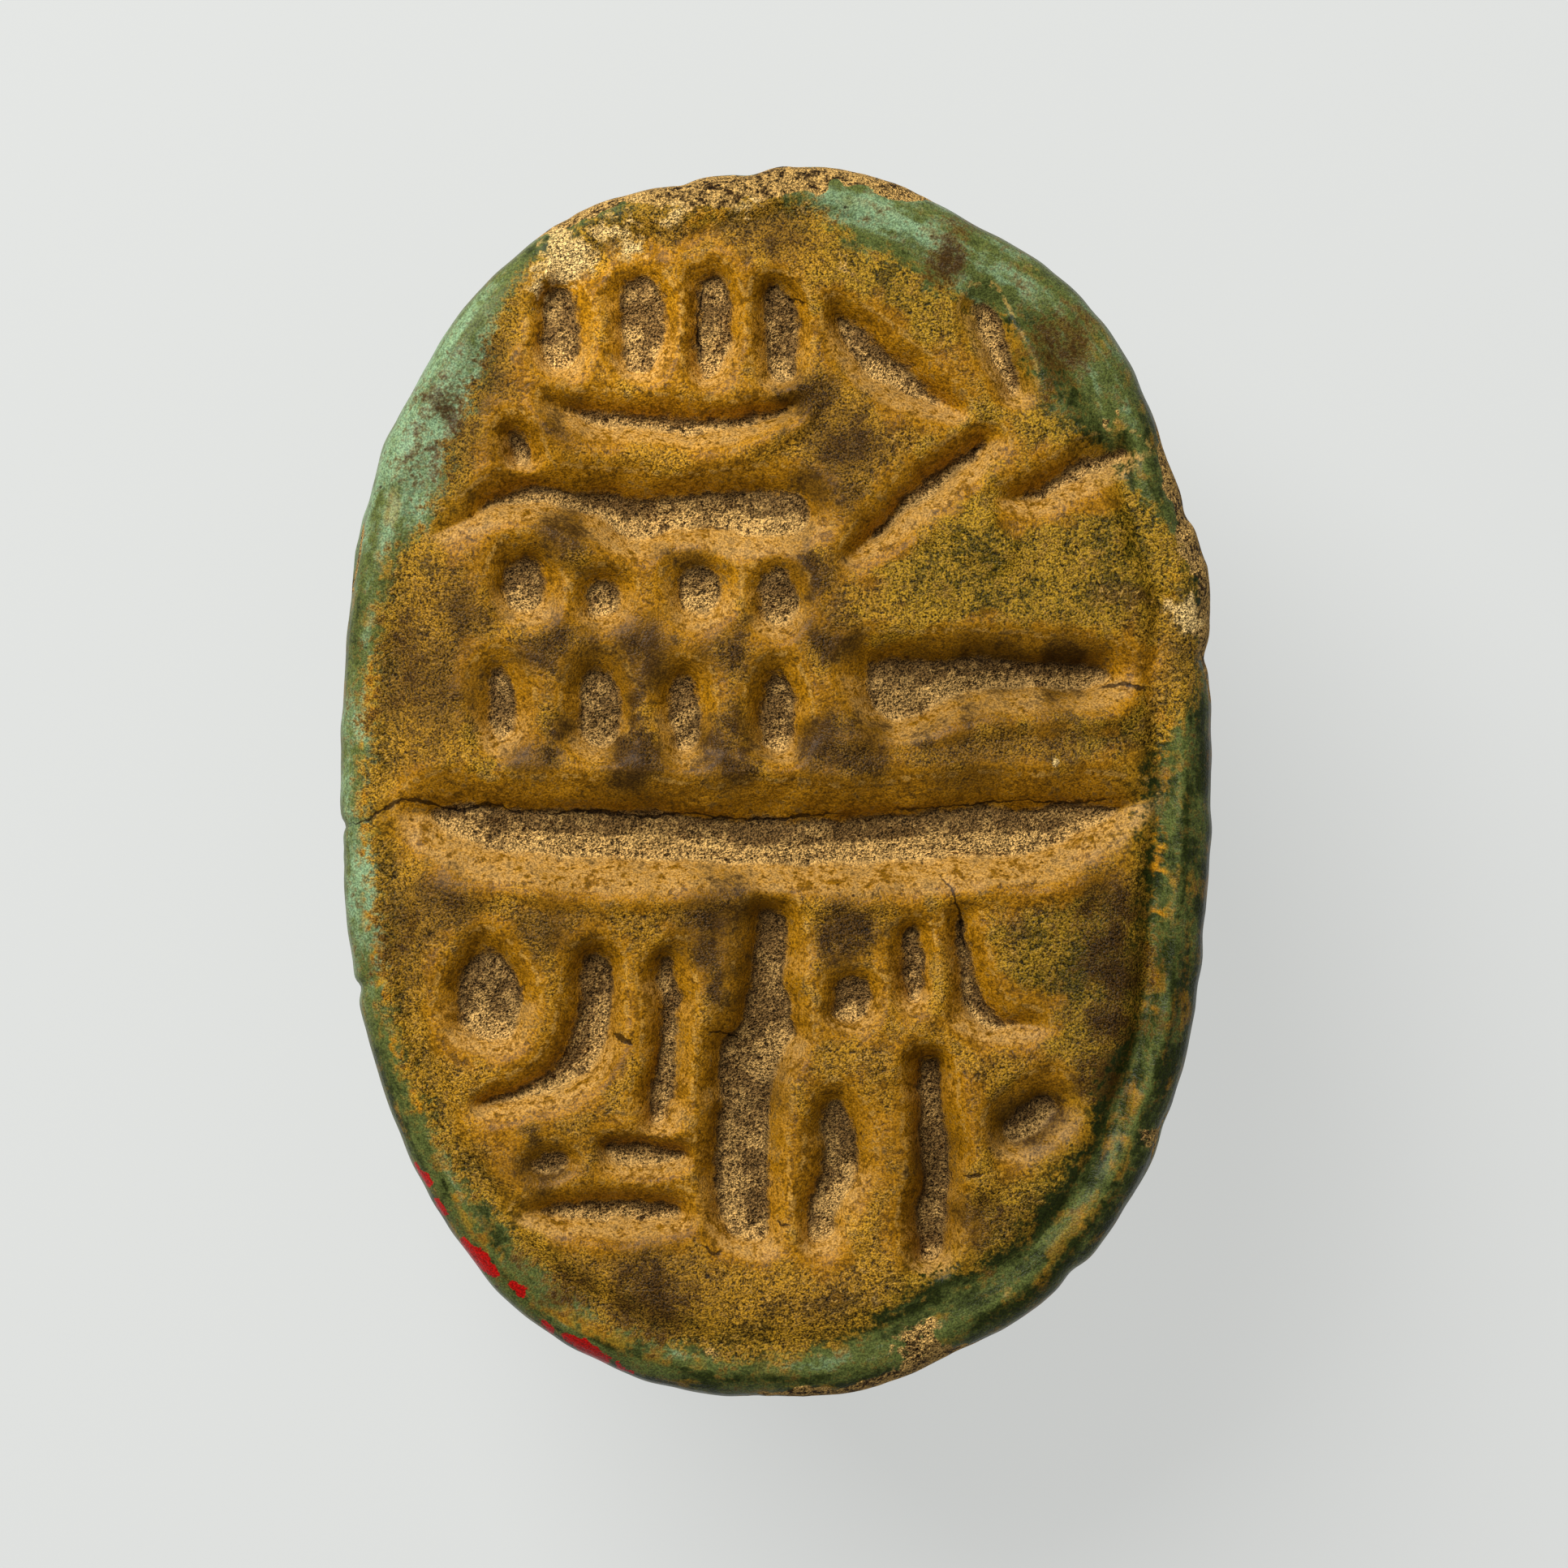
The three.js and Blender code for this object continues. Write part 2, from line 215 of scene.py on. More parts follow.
# Soft raised lines left between the strokes, in the same terms but standing up.
RAISED = [
    (0.08, [(-3.3, 4.9, 0.12), (-2.7, 4.6, 0.14), (-1.4, 4.42, 0.16), (-0.2, 4.55, 0.14), (0.4, 4.95, 0.12)]),
    (0.06, [(-4.3, 3.6, 0.1), (-3.3, 3.35, 0.16), (-2.2, 3.1, 0.14)]),
    (0.08, [(0.9, 0.55, 0.1), (2.2, 0.65, 0.12), (4.7, 0.9, 0.1)]),
    (0.05, [(-4.6, 0.22, 0.08), (0.0, 0.15, 0.1), (4.6, 0.3, 0.08)]),
    (0.07, [(-4.4, -1.45, 0.12), (0.0, -1.6, 0.16), (4.2, -1.4, 0.12)]),
    (0.07, [(1.9, 4.0, 0.1), (2.6, 3.4, 0.3), (3.0, 3.1, 0.2)]),
    (0.08, [(2.75, -4.0, 0.12), (2.85, -5.4, 0.16)]),
]

# Small raised grains in the right upper field.
PEBBLES = [
    (2.15, 3.75, 0.17), (2.55, 3.95, 0.15), (2.45, 3.4, 0.19), (2.95, 3.55, 0.16), (2.1, 3.25, 0.13),
]

FAR = 1.2  # beyond this, a stroke leaves the face alone
FAR_AWAY = 9.0  # what stands for no line at all
SPREAD = 0.06  # how much wider the strokes are cut than they are drawn
LIP_SIDE = 0.12  # how far outside a stroke's outline its wall begins
WALL_SHARE = 0.78  # how much of a stroke's wall lies inside its outline


def from_piece(x, y, x0, y0, x1, y1):
    """How far each point is from a straight piece, and which part along the piece is nearest."""
    run_x, run_y = x1 - x0, y1 - y0
    t = np.clip(((x - x0) * run_x + (y - y0) * run_y) / (run_x**2 + run_y**2), 0, 1)
    return np.hypot(x - x0 - t * run_x, y - y0 - t * run_y), t


def chain_distance(x, y, dabs):
    """The distance to a chain of dabs, negative inside it."""
    best = np.full_like(x, FAR_AWAY)
    for (x0, y0, r0), (x1, y1, r1) in zip(dabs, dabs[1:]):
        away, t = from_piece(x, y, x0, y0, x1, y1)
        best = np.minimum(best, away - (r0 + (r1 - r0) * t))
    return best


def hand_warp(x, y):
    """Where a point of the drawn layout lands: the carver's line isn't straight."""
    broad_x, broad_y = Ripple(0.9, 11), Ripple(0.9, 12)
    fine_x, fine_y = Ripple(0.3, 13), Ripple(0.3, 14)
    return (
        x + 0.07 * broad_x(x, y) + 0.035 * fine_x(x, y),
        y + 0.07 * broad_y(x, y) + 0.035 * fine_y(x, y),
    )


def rounded(corners):
    """The outline with its corners cut off twice."""
    line = np.asarray(corners, dtype=float)
    for _ in range(2):
        after = np.roll(line, -1, axis=0)
        line = np.stack([0.75 * line + 0.25 * after, 0.25 * line + 0.75 * after], axis=1).reshape(-1, 2)
    return line


def stroke_distance(x, y, corners):
    """The distance to a stroke's outline, negative inside it. Far from it, it's FAR."""
    line = rounded(corners)
    (low_x, low_y), (high_x, high_y) = line.min(axis=0) - FAR, line.max(axis=0) + FAR
    close = (x > low_x) & (x < high_x) & (y > low_y) & (y < high_y)
    px, py = x[close], y[close]
    near, inside = np.full_like(px, FAR), np.zeros(px.shape, dtype=bool)
    for (x0, y0), (x1, y1) in zip(line, np.roll(line, -1, axis=0)):
        near = np.minimum(near, from_piece(px, py, x0, y0, x1, y1)[0])
        inside ^= ((y0 > py) != (y1 > py)) & (px < x0 + (x1 - x0) * (py - y0) / (y1 - y0 + 1e-12))
    away = np.full_like(x, FAR)
    away[close] = np.where(inside, -near, near)
    return away


def carved(x, y):
    """How deep the face is cut at each point, how far the nearest stroke's outline is, and how
    far the nearest floor is."""
    wx, wy = hand_warp(x, y)
    depth, nearest, floor = np.zeros_like(x), np.full_like(x, FAR), np.full_like(x, FAR)
    pressure = 1 + 0.3 * Ripple(1.1, 15)(x, y)
    crumbled = 0.03 * Ripple(0.2, 18)(x, y)
    for deep, wall, corners in STROKES:
        mouth = stroke_distance(wx, wy, corners) - SPREAD + 0.5 * crumbled
        foot = mouth + WALL_SHARE * wall + 0.5 * crumbled
        into = np.clip(LIP_SIDE - mouth, 0, None)
        part = into / (into + np.clip(foot, 0, None) + 1e-6)
        depth = np.maximum(depth, deep * pressure * part**1.8)
        nearest = np.minimum(nearest, mouth)
        floor = np.minimum(floor, foot)
    return depth, nearest, floor


def raised(x, y):
    wx, wy = hand_warp(x, y)
    height = np.zeros_like(x)
    for tall, dabs in RAISED:
        height = np.maximum(height, tall * smooth(chain_distance(wx, wy, dabs), 0.22, -0.1))
    for px, py, r in PEBBLES:
        height = height + 0.06 * smooth(np.hypot(wx - px, wy - py), r * 1.2, r * 0.2)
    return height


# ---------------------------------------------------------------- the face

# Where the ring groove inside the border is clear: direction, spread in degrees and depth.
RING_GROOVE = [
    (0, 38, 0.1), (325, 25, 0.09), (45, 22, 0.07), (95, 30, 0.07), (180, 40, 0.05), (230, 30, 0.06),
]
# Where the border's edge is broken away: direction, spread in degrees, and how far inward it reaches.
BROKEN_EDGE = [
    (107, 6, 0.26), (96, 7, 0.46), (86, 6, 0.42), (78, 4, 0.16), (37, 6, 0.2), (28, 8, 0.3),
    (17, 5, 0.14), (284, 5, 0.3), (273, 6, 0.2), (317, 3, 0.12), (152, 4, 0.08),
]
# Chips out of the border: x, y, radius and depth.
CHIPS = [
    (-2.75, 7.2, 0.55, 0.1), (-2.05, 7.4, 0.5, 0.07), (5.3, 2.45, 0.25, 0.08),
]


def broken_edge(x, y, inward):
    """How far inside the broken edge's inner line each point is, negative on whole glaze."""
    width = edge_shift(np.arctan2(y, x), BROKEN_EDGE)
    wander = 0.35 * Ripple(0.45, 27)(x, y) + 0.25 * Ripple(0.2, 20)(x, y)
    return width * (1 + wander) - 0.06 - inward


def break_cover(x, y, inward):
    """How much of each point is broken away, and how deep the break is there."""
    out = broken_edge(x, y, inward)
    cover = smooth(out, -0.03, 0.06)
    depth = cover * (0.02 + 0.22 * np.clip(out, 0, 0.5))
    for px, py, r, deep in CHIPS:
        part = smooth(np.hypot(x - px, y - py) + 0.12 * Ripple(0.3, 27)(x, y), r, 0.5 * r)
        cover = np.maximum(cover, part)
        depth = depth + deep * part
    return cover, depth


FACE_DROP = 0.13  # how far the face's fields lie below the amulet's top
RING_AT = 0.8  # how far inside the edge the ring groove runs
CREST_AT = 0.45  # how far inside the edge the border stands highest


def ring_relief(x, y, inward):
    """The groove that rings the face inside the border, and the crest outside it."""
    groove = edge_shift(np.arctan2(y, x), RING_GROOVE)
    wander = 0.06 * Ripple(1.1, 26)(x, y)
    return groove * (0.6 * bell(inward, CREST_AT, 0.13) - bell(inward - wander, RING_AT, 0.17))


def rim_drop(inward):
    """How far the face falls away towards the edge: a slow sag, then the edge's rounding."""
    part = 1 - np.clip(inward / PLATE_ROUNDING, 0, 1)
    return PLATE_ROUNDING * (1 - np.sqrt(np.clip(1 - part**2, 0, 1))) + 0.1 * smooth(inward, 1.6, 0.3)


def crack_relief(x, y):
    """One lip of a crack stands a little higher, and the crack itself is a narrow gap."""
    crack, half = crack_lines(x, y)
    lip = smooth(crack, -0.03, 0.03) * smooth(np.abs(crack), 0.35, 0.03)
    return 0.9 * half * (lip - smooth(np.abs(crack), 0.07, 0.0))


def broken_relief(x, y, inward):
    """How deep the breaks are, with their rough ground."""
    cover, depth = break_cover(x, y, inward)
    return depth + cover * (0.05 * Ripple(0.26, 29)(x, y) + 0.035 * Ripple(0.13, 30)(x, y))


def face_height(x, y, inward):
    """The face's height, from the plan and how far inward of the outline each point is."""
    depth, nearest, foot = carved(x, y)
    inside = smooth(inward, 0.75, 1.15)
    fade = smooth(inward, 0.35, 0.75)
    bead = (0.026 + 0.022 * Ripple(0.8, 28)(x, y)) * bell(nearest, 0.18, 0.1)
    pillow = 0.06 * smooth(nearest, 0.0, 0.5)
    uneven = 0.045 * Ripple(1.6, 21)(x, y) + 0.026 * Ripple(0.55, 22)(x, y) + 0.012 * Ripple(0.2, 23)(x, y)
    rough_floor = (0.05 * Ripple(0.45, 24)(x, y) + 0.03 * Ripple(0.16, 25)(x, y)) * smooth(foot, 0.05, -0.08)
    top = HEIGHT - FACE_DROP + uneven - rim_drop(inward) + ring_relief(x, y, inward) + crack_relief(x, y)
    carving = (0.01 + bead + pillow + raised(x, y) + rough_floor) * inside - depth * fade
    return top + carving - broken_relief(x, y, inward)


# ---------------------------------------------------------------- closed shapes in mesh code

ACROSS = 192  # cells of the face's grid
ALONG = 270


def ring_faces(first, second, count):
    """The faces between two rings of count points, given each ring's first index."""
    i = np.arange(count)
    j = (i + 1) % count
    return np.stack([first + i, first + j, second + j, second + i], axis=1)


def fan(ring, tip, count, flip):
    i = np.arange(count)
    j = (i + 1) % count
    corners = [ring + j, ring + i] if flip else [ring + i, ring + j]
    return np.stack([*corners, np.full(count, tip)], axis=1)


def loft(rings):
    """A closed shape through rings of points, each ring counterclockwise as seen from its far end."""
    rings = np.asarray(rings)
    layers, count = rings.shape[:2]
    points = np.concatenate([rings.reshape(-1, 3), [rings[0].mean(axis=0), rings[-1].mean(axis=0)]])
    faces = []
    for k in range(layers - 1):
        faces += ring_faces(k * count, (k + 1) * count, count).tolist()
    faces += fan(0, layers * count, count, True).tolist()
    faces += fan((layers - 1) * count, layers * count + 1, count, False).tolist()
    return points, faces


def face_plan():
    """The face's grid, bent to the oval: x, y, how far inward, and the indices of its border."""
    a, b = np.meshgrid(np.linspace(-1, 1, ACROSS + 1), np.linspace(-1, 1, ALONG + 1))
    wide = np.abs(a) > np.abs(b)
    out = np.where(wide, a, b)
    safe_a, safe_b = np.where(a == 0, 1, a), np.where(b == 0, 1, b)
    angle = np.where(wide, math.pi / 4 * b / safe_a, math.pi / 2 - math.pi / 4 * a / safe_b)
    angle = angle + np.where(out < 0, math.pi, 0)
    edge_x, edge_y = worn_oval(angle, EDGE_WEAR + NICKS)
    out = np.abs(out)
    inward = (1 - out) * np.hypot(edge_x, edge_y)
    index = np.arange(a.size).reshape(a.shape)
    border = np.concatenate([index[0, :-1], index[:-1, -1], index[-1, :0:-1], index[:0:-1, 0]])
    return edge_x * out, edge_y * out, inward, index, border


# Where the lower half of the plate's side stands out past its worn upper edge: direction, spread, amount.
SHELVES = [(152, 9, 0.07), (163, 6, 0.06), (316, 7, 0.09), (328, 4, 0.05), (28, 8, 0.05)]
UNDERSIDE_INSETS = (0.65, 1.4)


def side_rows(rim_z):
    """The inset and the heights of each ring of points, down the plate's side and under it."""
    low = PLATE_BOTTOM + UNDER_ROUNDING
    rows = [(0.0, rim_z + (low - rim_z) * part) for part in np.linspace(0, 1, 7)[1:]]
    for turn in np.linspace(0, math.pi / 2, 5)[1:]:
        rows.append((UNDER_ROUNDING * (1 - math.cos(turn)), low - UNDER_ROUNDING * math.sin(turn)))
    rows += [(inset, PLATE_BOTTOM) for inset in UNDERSIDE_INSETS]
    return [(inset, np.full_like(rim_z, z)) for inset, z in rows]


def plate():
    """The oval plate: the carved face, its worn rim and its underside."""
    x, y, inward, index, border = face_plan()
    face = np.stack([x, y, face_height(x, y, inward)], axis=-1).reshape(-1, 3)
    cells = np.stack([index[:-1, :-1], index[:-1, 1:], index[1:, 1:], index[1:, :-1]], axis=-1)
    points, faces = [face], cells.reshape(-1, 4).tolist()
    rim_x, rim_y, rim_z = face[border].T
    angle = np.arctan2(rim_y, rim_x)
    count, last, start = len(border), border, len(face)
    wave, fine = Ripple(0.8, 31), Ripple(0.25, 32)
    for inset, z in side_rows(rim_z):
        down, around = rim_z - z, angle * MEAN_RADIUS
        held = smooth(down, 0.0, 0.3) * (inset < 0.6)
        shelf = edge_shift(angle, SHELVES) * smooth(down, 0.25, 0.5)
        push = held * (0.035 * wave(around, z) + 0.015 * fine(around, z)) + shelf - inset
        scale = 1 + push / np.hypot(rim_x, rim_y)
        points.append(np.stack([rim_x * scale, rim_y * scale, z], axis=1))
        ring = start + np.arange(count)
        faces += np.stack([last, ring, np.roll(ring, -1), np.roll(last, -1)], axis=1).tolist()
        last, start = ring, start + count
    points.append(np.array([[0.0, 0.0, PLATE_BOTTOM]]))
    faces += np.stack([last, np.full(count, start), np.roll(last, -1)], axis=1).tolist()
    return np.concatenate(points), faces


def ball(y, z, rx, ry, up, down, x=0.0, across=72, tall=36):
    """A rounded lump: rx and ry across, up above its widest line and down below it."""
    rings = []
    turns = np.linspace(0, 2 * math.pi, across, endpoint=False)
    for tilt in np.linspace(-math.pi / 2, math.pi / 2, tall + 1)[1:-1]:
        height = z + math.sin(tilt) * (up if tilt > 0 else down)
        wide = math.cos(tilt)
        ring = [x + rx * wide * np.cos(turns), y + ry * wide * np.sin(turns), np.full(across, height)]
        rings.append(np.stack(ring, axis=1))
    return loft(rings)


BELLY_INSET = 0.85
BELLY_HOLLOW = 0.1


def belly():
    """What stands between the plate and the back, a little hollowed behind the legs."""
    turns = np.linspace(0, 2 * math.pi, 120, endpoint=False)
    rings = []
    for z in np.linspace(BACK_DEPTH - 0.1, PLATE_BOTTOM + 0.15, 12):
        up = (z - BACK_DEPTH) / (PLATE_BOTTOM - BACK_DEPTH)
        x, y = oval(turns, BELLY_INSET + BELLY_HOLLOW * math.sin(math.pi * up))
        rings.append(np.stack([x, y, np.full_like(x, z)], axis=1))
    return loft(rings)


def soft_line(points, steps):
    """Points along a smooth line through the given ones."""
    points = np.asarray(points, dtype=float)
    padded = np.concatenate([[2 * points[0] - points[1]], points, [2 * points[-1] - points[-2]]])
    line = []
    for p0, p1, p2, p3 in zip(padded, padded[1:], padded[2:], padded[3:]):
        for t in np.linspace(0, 1, steps, endpoint=False):
            line.append(
                0.5 * (2 * p1 + (p2 - p0) * t + (2 * p0 - 5 * p1 + 4 * p2 - p3) * t**2)
                + 0.5 * (3 * p1 - p0 - 3 * p2 + p3) * t**3
            )
    return np.array([*line, points[-1]])


def tube(points, radius, steps=8, sides=14):
    """A round bar along a soft line, a little thinner at its ends."""
    line = soft_line(points, steps)
    ahead = np.gradient(line, axis=0)
    ahead /= np.linalg.norm(ahead, axis=1, keepdims=True)
    across = np.cross(ahead, [0, 0, 1.0])
    across /= np.linalg.norm(across, axis=1, keepdims=True)
    over = np.cross(across, ahead)
    turns = np.linspace(0, 2 * math.pi, sides, endpoint=False)[None, :, None]
    part = np.linspace(0, 1, len(line))[:, None, None]
    wide = radius * (1 - 0.15 * np.abs(2 * part - 1) ** 3)
    rings = line[:, None] + wide * (np.cos(turns) * across[:, None] + np.sin(turns) * over[:, None])
    return loft(rings)


# Each leg is a ridge round the side: points of (direction along the oval, inset, height).
LEGS = {
    "front leg": [(34, 1.4, 4.2), (40, 0.85, 4.75), (56, 0.75, 5.3), (70, 0.85, 5.75), (76, 1.5, 6.5)],
    "middle leg": [(26, 1.4, 4.1), (20, 0.8, 4.7), (4, 0.65, 5.25), (-12, 0.7, 5.8), (-18, 1.3, 6.5)],
    "hind thigh": [(-1, 1.4, 4.1), (-8, 0.8, 4.65), (-32, 0.7, 5.1), (-56, 0.8, 5.7), (-66, 1.5, 6.5)],
    "hind shin": [(-24, 1.5, 6.5), (-30, 0.75, 5.95), (-50, 0.75, 5.0), (-64, 0.85, 4.8), (-72, 1.4, 4.2)],
}
LEG_RADIUS = 0.48


def legs():
    made = []
    for points in LEGS.values():
        for side in (-1, 1):
            path = []
            for direction, inset, z in points:
                x, y = oval(math.radians(direction), inset)
                path.append((side * float(x), float(y), z))
            made.append(tube(path, LEG_RADIUS))
    return made


BACK = dict(y=-0.75, z=BACK_DEPTH, rx=5.75, ry=7.45, up=1.3, down=BACK_DEPTH + CROWN_WEAR)
HEAD = dict(y=6.1, z=4.8, rx=2.8, ry=1.7, up=1.5, down=2.6)
BROW = dict(y=7.1, z=5.0, rx=2.3, ry=1.2, up=1.2, down=1.5)
CHEEK = dict(y=6.4, z=4.6, rx=0.65, ry=0.8, up=0.9, down=1.3)
CHEEK_OUT = 2.6


def beetle():
    """The beetle's back, head and legs, all running into the belly."""
    cheeks = [ball(x=x, **CHEEK) for x in (-CHEEK_OUT, CHEEK_OUT)]
    return [belly(), ball(**BACK, across=140, tall=60), ball(**HEAD), ball(**BROW), *cheeks, *legs()]


def mesh_object(name, shapes):
    """One object of all the given shapes."""
    points, faces, first = [], [], 0
    for shape_points, shape_faces in shapes:
        points.append(shape_points)
        faces += [[first + corner for corner in face] for face in shape_faces]
        first += len(shape_points)
    mesh = bpy.data.meshes.new(name)
    mesh.from_pydata(np.concatenate(points).tolist(), [], faces)
    made = bpy.data.objects.new(name, mesh)
    bpy.context.scene.collection.objects.link(made)
    return made


def bake_modifiers(made):
    """Puts what the modifiers make into the mesh itself."""
    graph = bpy.context.evaluated_depsgraph_get()
    shaped = bpy.data.meshes.new_from_object(made.evaluated_get(graph), depsgraph=graph)
    made.modifiers.clear()
    old, made.data = made.data, shaped
    bpy.data.meshes.remove(old)


def read(mesh, owner, name, width=3):
    values = np.empty(len(getattr(mesh, owner)) * width)
    getattr(mesh, owner).foreach_get(name, values)
    return values.reshape(-1, width) if width > 1 else values


SHIELD_Y = 2.3
SHIELD_BOW = 0.75
SHIELD_REACH = 5.24
SEAM_DEPTH = 0.16
SEAM_WIDTH = 0.17
MARGIN_Z = BACK_DEPTH - 0.75
MARGIN_END = 6.0  # it stops short of the head
MARGIN_DEPTH = 0.07


def back_lines(x, y, z):
    """How far each point is from the lines cut in the beetle's back."""
    shield = SHIELD_Y - SHIELD_BOW * (1 - np.clip(x / SHIELD_REACH, -1, 1) ** 2)
    below = smooth(z, BACK_DEPTH + 0.35, BACK_DEPTH - 0.15)
    to_shield = np.abs(y - shield)
    to_seam = np.where(y < shield, np.abs(x), FAR_AWAY)
    return np.minimum(to_shield, to_seam) + FAR_AWAY * (1 - below)


def shape_back(made):
    """Cuts the seam and the shield line, adds the margin round the back and wears the crown flat."""
    mesh = made.data
    points = read(mesh, "vertices", "co")
    normals = read(mesh, "vertices", "normal")
    x, y, z = points.T
    lines = back_lines(x + 0.05 * Ripple(1.2, 41)(y, z), y + 0.05 * Ripple(1.3, 42)(x, z), z)
    cut = SEAM_DEPTH * bell(lines, 0, SEAM_WIDTH)
    margin = MARGIN_DEPTH * bell(z, MARGIN_Z, 0.13) * (y < MARGIN_END)
    uneven = 0.03 * Ripple(1.4, 43)(x + z, y) + 0.014 * Ripple(0.45, 44)(x + z, y)
    points += normals * (uneven - cut - margin)[:, None]
    points[:, 2] = np.maximum(points[:, 2], 0.0)
    mesh.vertices.foreach_set("co", points.ravel())
    mesh.update()


SKIN_CELL = 0.14


def beetle_object():
    made = mesh_object("beetle", beetle())
    remesh = made.modifiers.new("one skin", "REMESH")
    remesh.mode = "VOXEL"
    remesh.voxel_size = SKIN_CELL
    remesh.use_smooth_shade = True
    soften = made.modifiers.new("soften", "SMOOTH")
    soften.factor = 0.5
    soften.iterations = 3
    bake_modifiers(made)
    shape_back(made)
    return made


def bore_object():
    """What is drilled out for the cord, its width waving a little along it."""
    turns = np.linspace(0, 2 * math.pi, 64, endpoint=False)
    rings = []
    for y in np.linspace(-LENGTH, LENGTH, 60):
        r = BORE_RADIUS + BORE_WAVE * math.sin(3 * y)
        ring = [r * np.cos(turns), np.full_like(turns, y), BORE_Z - r * np.sin(turns)]
        rings.append(np.stack(ring, axis=1))
    return mesh_object("bore", [loft(rings)])


def combine(made, other, operation):
    cut = made.modifiers.new(operation, "BOOLEAN")
    cut.operation = operation
    cut.solver = "MANIFOLD"
    cut.object = other
    bake_modifiers(made)
    bpy.data.objects.remove(other)


SHARP_TURN = 55  # degrees between faces that meet in an edge


def amulet_object():
    made = mesh_object("amulet", [plate()])
    combine(made, beetle_object(), "UNION")
    combine(made, bore_object(), "DIFFERENCE")
    mesh = made.data
    mesh.materials.clear()
    mesh.shade_smooth()
    mesh.set_sharp_from_angle(angle=math.radians(SHARP_TURN))
    return made


# ---------------------------------------------------------------- where the surface changes

# How wide the green border is, in millimetres: direction and spread in degrees, and width.
GREEN_WIDTH = [
    (78, 11, 0.75), (54, 16, 1.1), (0, 9, 0.6), (345, 14, 0.75), (312, 20, 1.0), (286, 14, 0.6),
    (262, 18, 0.4), (234, 16, 0.45), (205, 20, 0.2), (180, 20, 0.12), (158, 14, 0.15), (135, 15, 0.85),
]
# How light the green is, in the same terms: partly paler glaze, partly painted light, lighter on the sides
# that face the key light and darker on those that face away.
GREEN_PALENESS_AND_LIT_SIDE = [
    (80, 14, 0.75), (57, 14, 0.5), (134, 16, 1.35), (174, 14, 0.75), (198, 15, 0.95), (236, 14, 0.25),
    (262, 14, 0.2), (314, 16, -0.12), (345, 14, -0.1),
]
# How far in the ochre patches of the ring lie, past their least, and how much of them there is.
RING_PLACE = [(0, 40, 0.26), (330, 25, 0.1), (100, 25, 0.14)]
RING_PATCHES = [
    (0, 12, 1.0), (345, 14, 1.0), (325, 12, 0.6), (300, 12, 0.4), (25, 8, 0.4), (95, 12, 0.6),
    (165, 20, 0.9), (195, 20, 0.9), (222, 20, 0.9), (250, 14, 0.7),
]
# Soft blobs: x, y, radius, strength.
STAINS_AND_SLOT_SHADE = [
    (-3.0, 1.8, 0.45, 1.0), (-1.85, 1.8, 0.5, 1.0), (-1.87, 1.3, 0.24, 0.95), (-1.85, 0.85, 0.24, 0.9),
    (-3.12, 0.8, 0.26, 0.85), (-0.64, 0.85, 0.24, 0.85), (-2.0, 0.3, 0.5, 1.0), (-0.75, 0.28, 0.5, 1.0),
    (-3.3, 0.25, 0.35, 0.7), (0.7, 0.5, 0.36, 0.85), (-4.8, 1.15, 0.75, 0.62), (-5.0, 1.9, 0.45, 0.5),
    (-0.6, 1.75, 0.4, 0.8), (-2.85, 3.32, 0.36, 0.85), (-4.15, 2.3, 0.32, 0.65),
    (-1.3, 3.1, 0.25, 0.55), (0.6, 5.2, 0.45, 0.85), (0.9, 4.6, 0.45, 0.9), (0.6, 4.05, 0.35, 0.7),
    (0.55, 2.85, 0.42, 0.95), (0.67, 1.9, 0.38, 0.9), (1.0, 3.9, 0.3, 0.5), (1.1, 0.45, 0.5, 0.75),
    # The four spots along y 1.35 to 1.5, from x 1.8 to 4.0, darken the slot's floor: painted shade.
    (2.5, 0.5, 0.7, 0.5), (3.9, 0.6, 0.6, 0.45), (1.8, 1.35, 0.4, 0.6), (2.5, 1.5, 0.4, 0.8),
    (3.2, 1.5, 0.4, 0.9), (4.0, 1.5, 0.45, 0.95), (-0.9, -2.0, 0.5, 1.0), (-0.78, -2.75, 0.36, 0.85),
    (0.95, -1.98, 0.5, 1.0), (-5.2, -2.1, 0.5, 0.6), (-4.6, -1.7, 0.4, 0.6), (-3.0, -2.1, 0.4, 0.6),
    (-3.1, -5.25, 0.45, 0.85), (-0.1, -4.4, 0.34, 0.6), (0.85, -4.9, 0.3, 0.5), (-1.7, -7.0, 0.6, 0.95),
    (-2.9, -6.95, 0.5, 0.6), (4.6, -1.7, 0.4, 0.85), (4.6, -2.5, 0.5, 1.0), (4.55, -3.3, 0.42, 0.9),
    (4.4, -4.0, 0.36, 0.6), (3.45, -4.6, 0.42, 0.95), (2.15, -5.2, 0.4, 0.55), (2.1, -6.2, 0.3, 0.55),
    (2.85, -6.0, 0.42, 0.7), (2.3, 7.1, 0.36, 0.85), (3.75, 5.85, 0.45, 0.75), (-4.5, 5.0, 0.5, 0.6),
    (-4.0, 5.6, 0.4, 0.55), (-4.9, 4.2, 0.4, 0.5), (0.1, 7.5, 0.35, 0.5), (-2.9, 4.75, 0.3, 0.7),
]
# Small patches where the brown body shows.
BARE = [
    (5.95, 3.1, 0.4, 0.8), (5.75, 2.2, 0.35, 0.7), (1.9, -7.75, 0.4, 0.8), (0.95, 7.15, 0.22, 0.7),
    (4.6, 5.0, 0.22, 0.6), (5.1, -4.9, 0.25, 0.7), (-0.9, -7.75, 0.2, 0.5),
]
PALE_CHIPS = [
    (-2.85, 7.2, 0.5, 1.0), (-2.2, 7.45, 0.55, 0.7), (-3.2, 6.75, 0.3, 0.6), (5.55, 2.3, 0.3, 1.0),
    (-1.4, 7.75, 0.35, 0.6), (-0.6, 7.88, 0.3, 0.55), (0.3, 7.9, 0.3, 0.5), (3.84, 0.24, 0.06, 1.3),
]
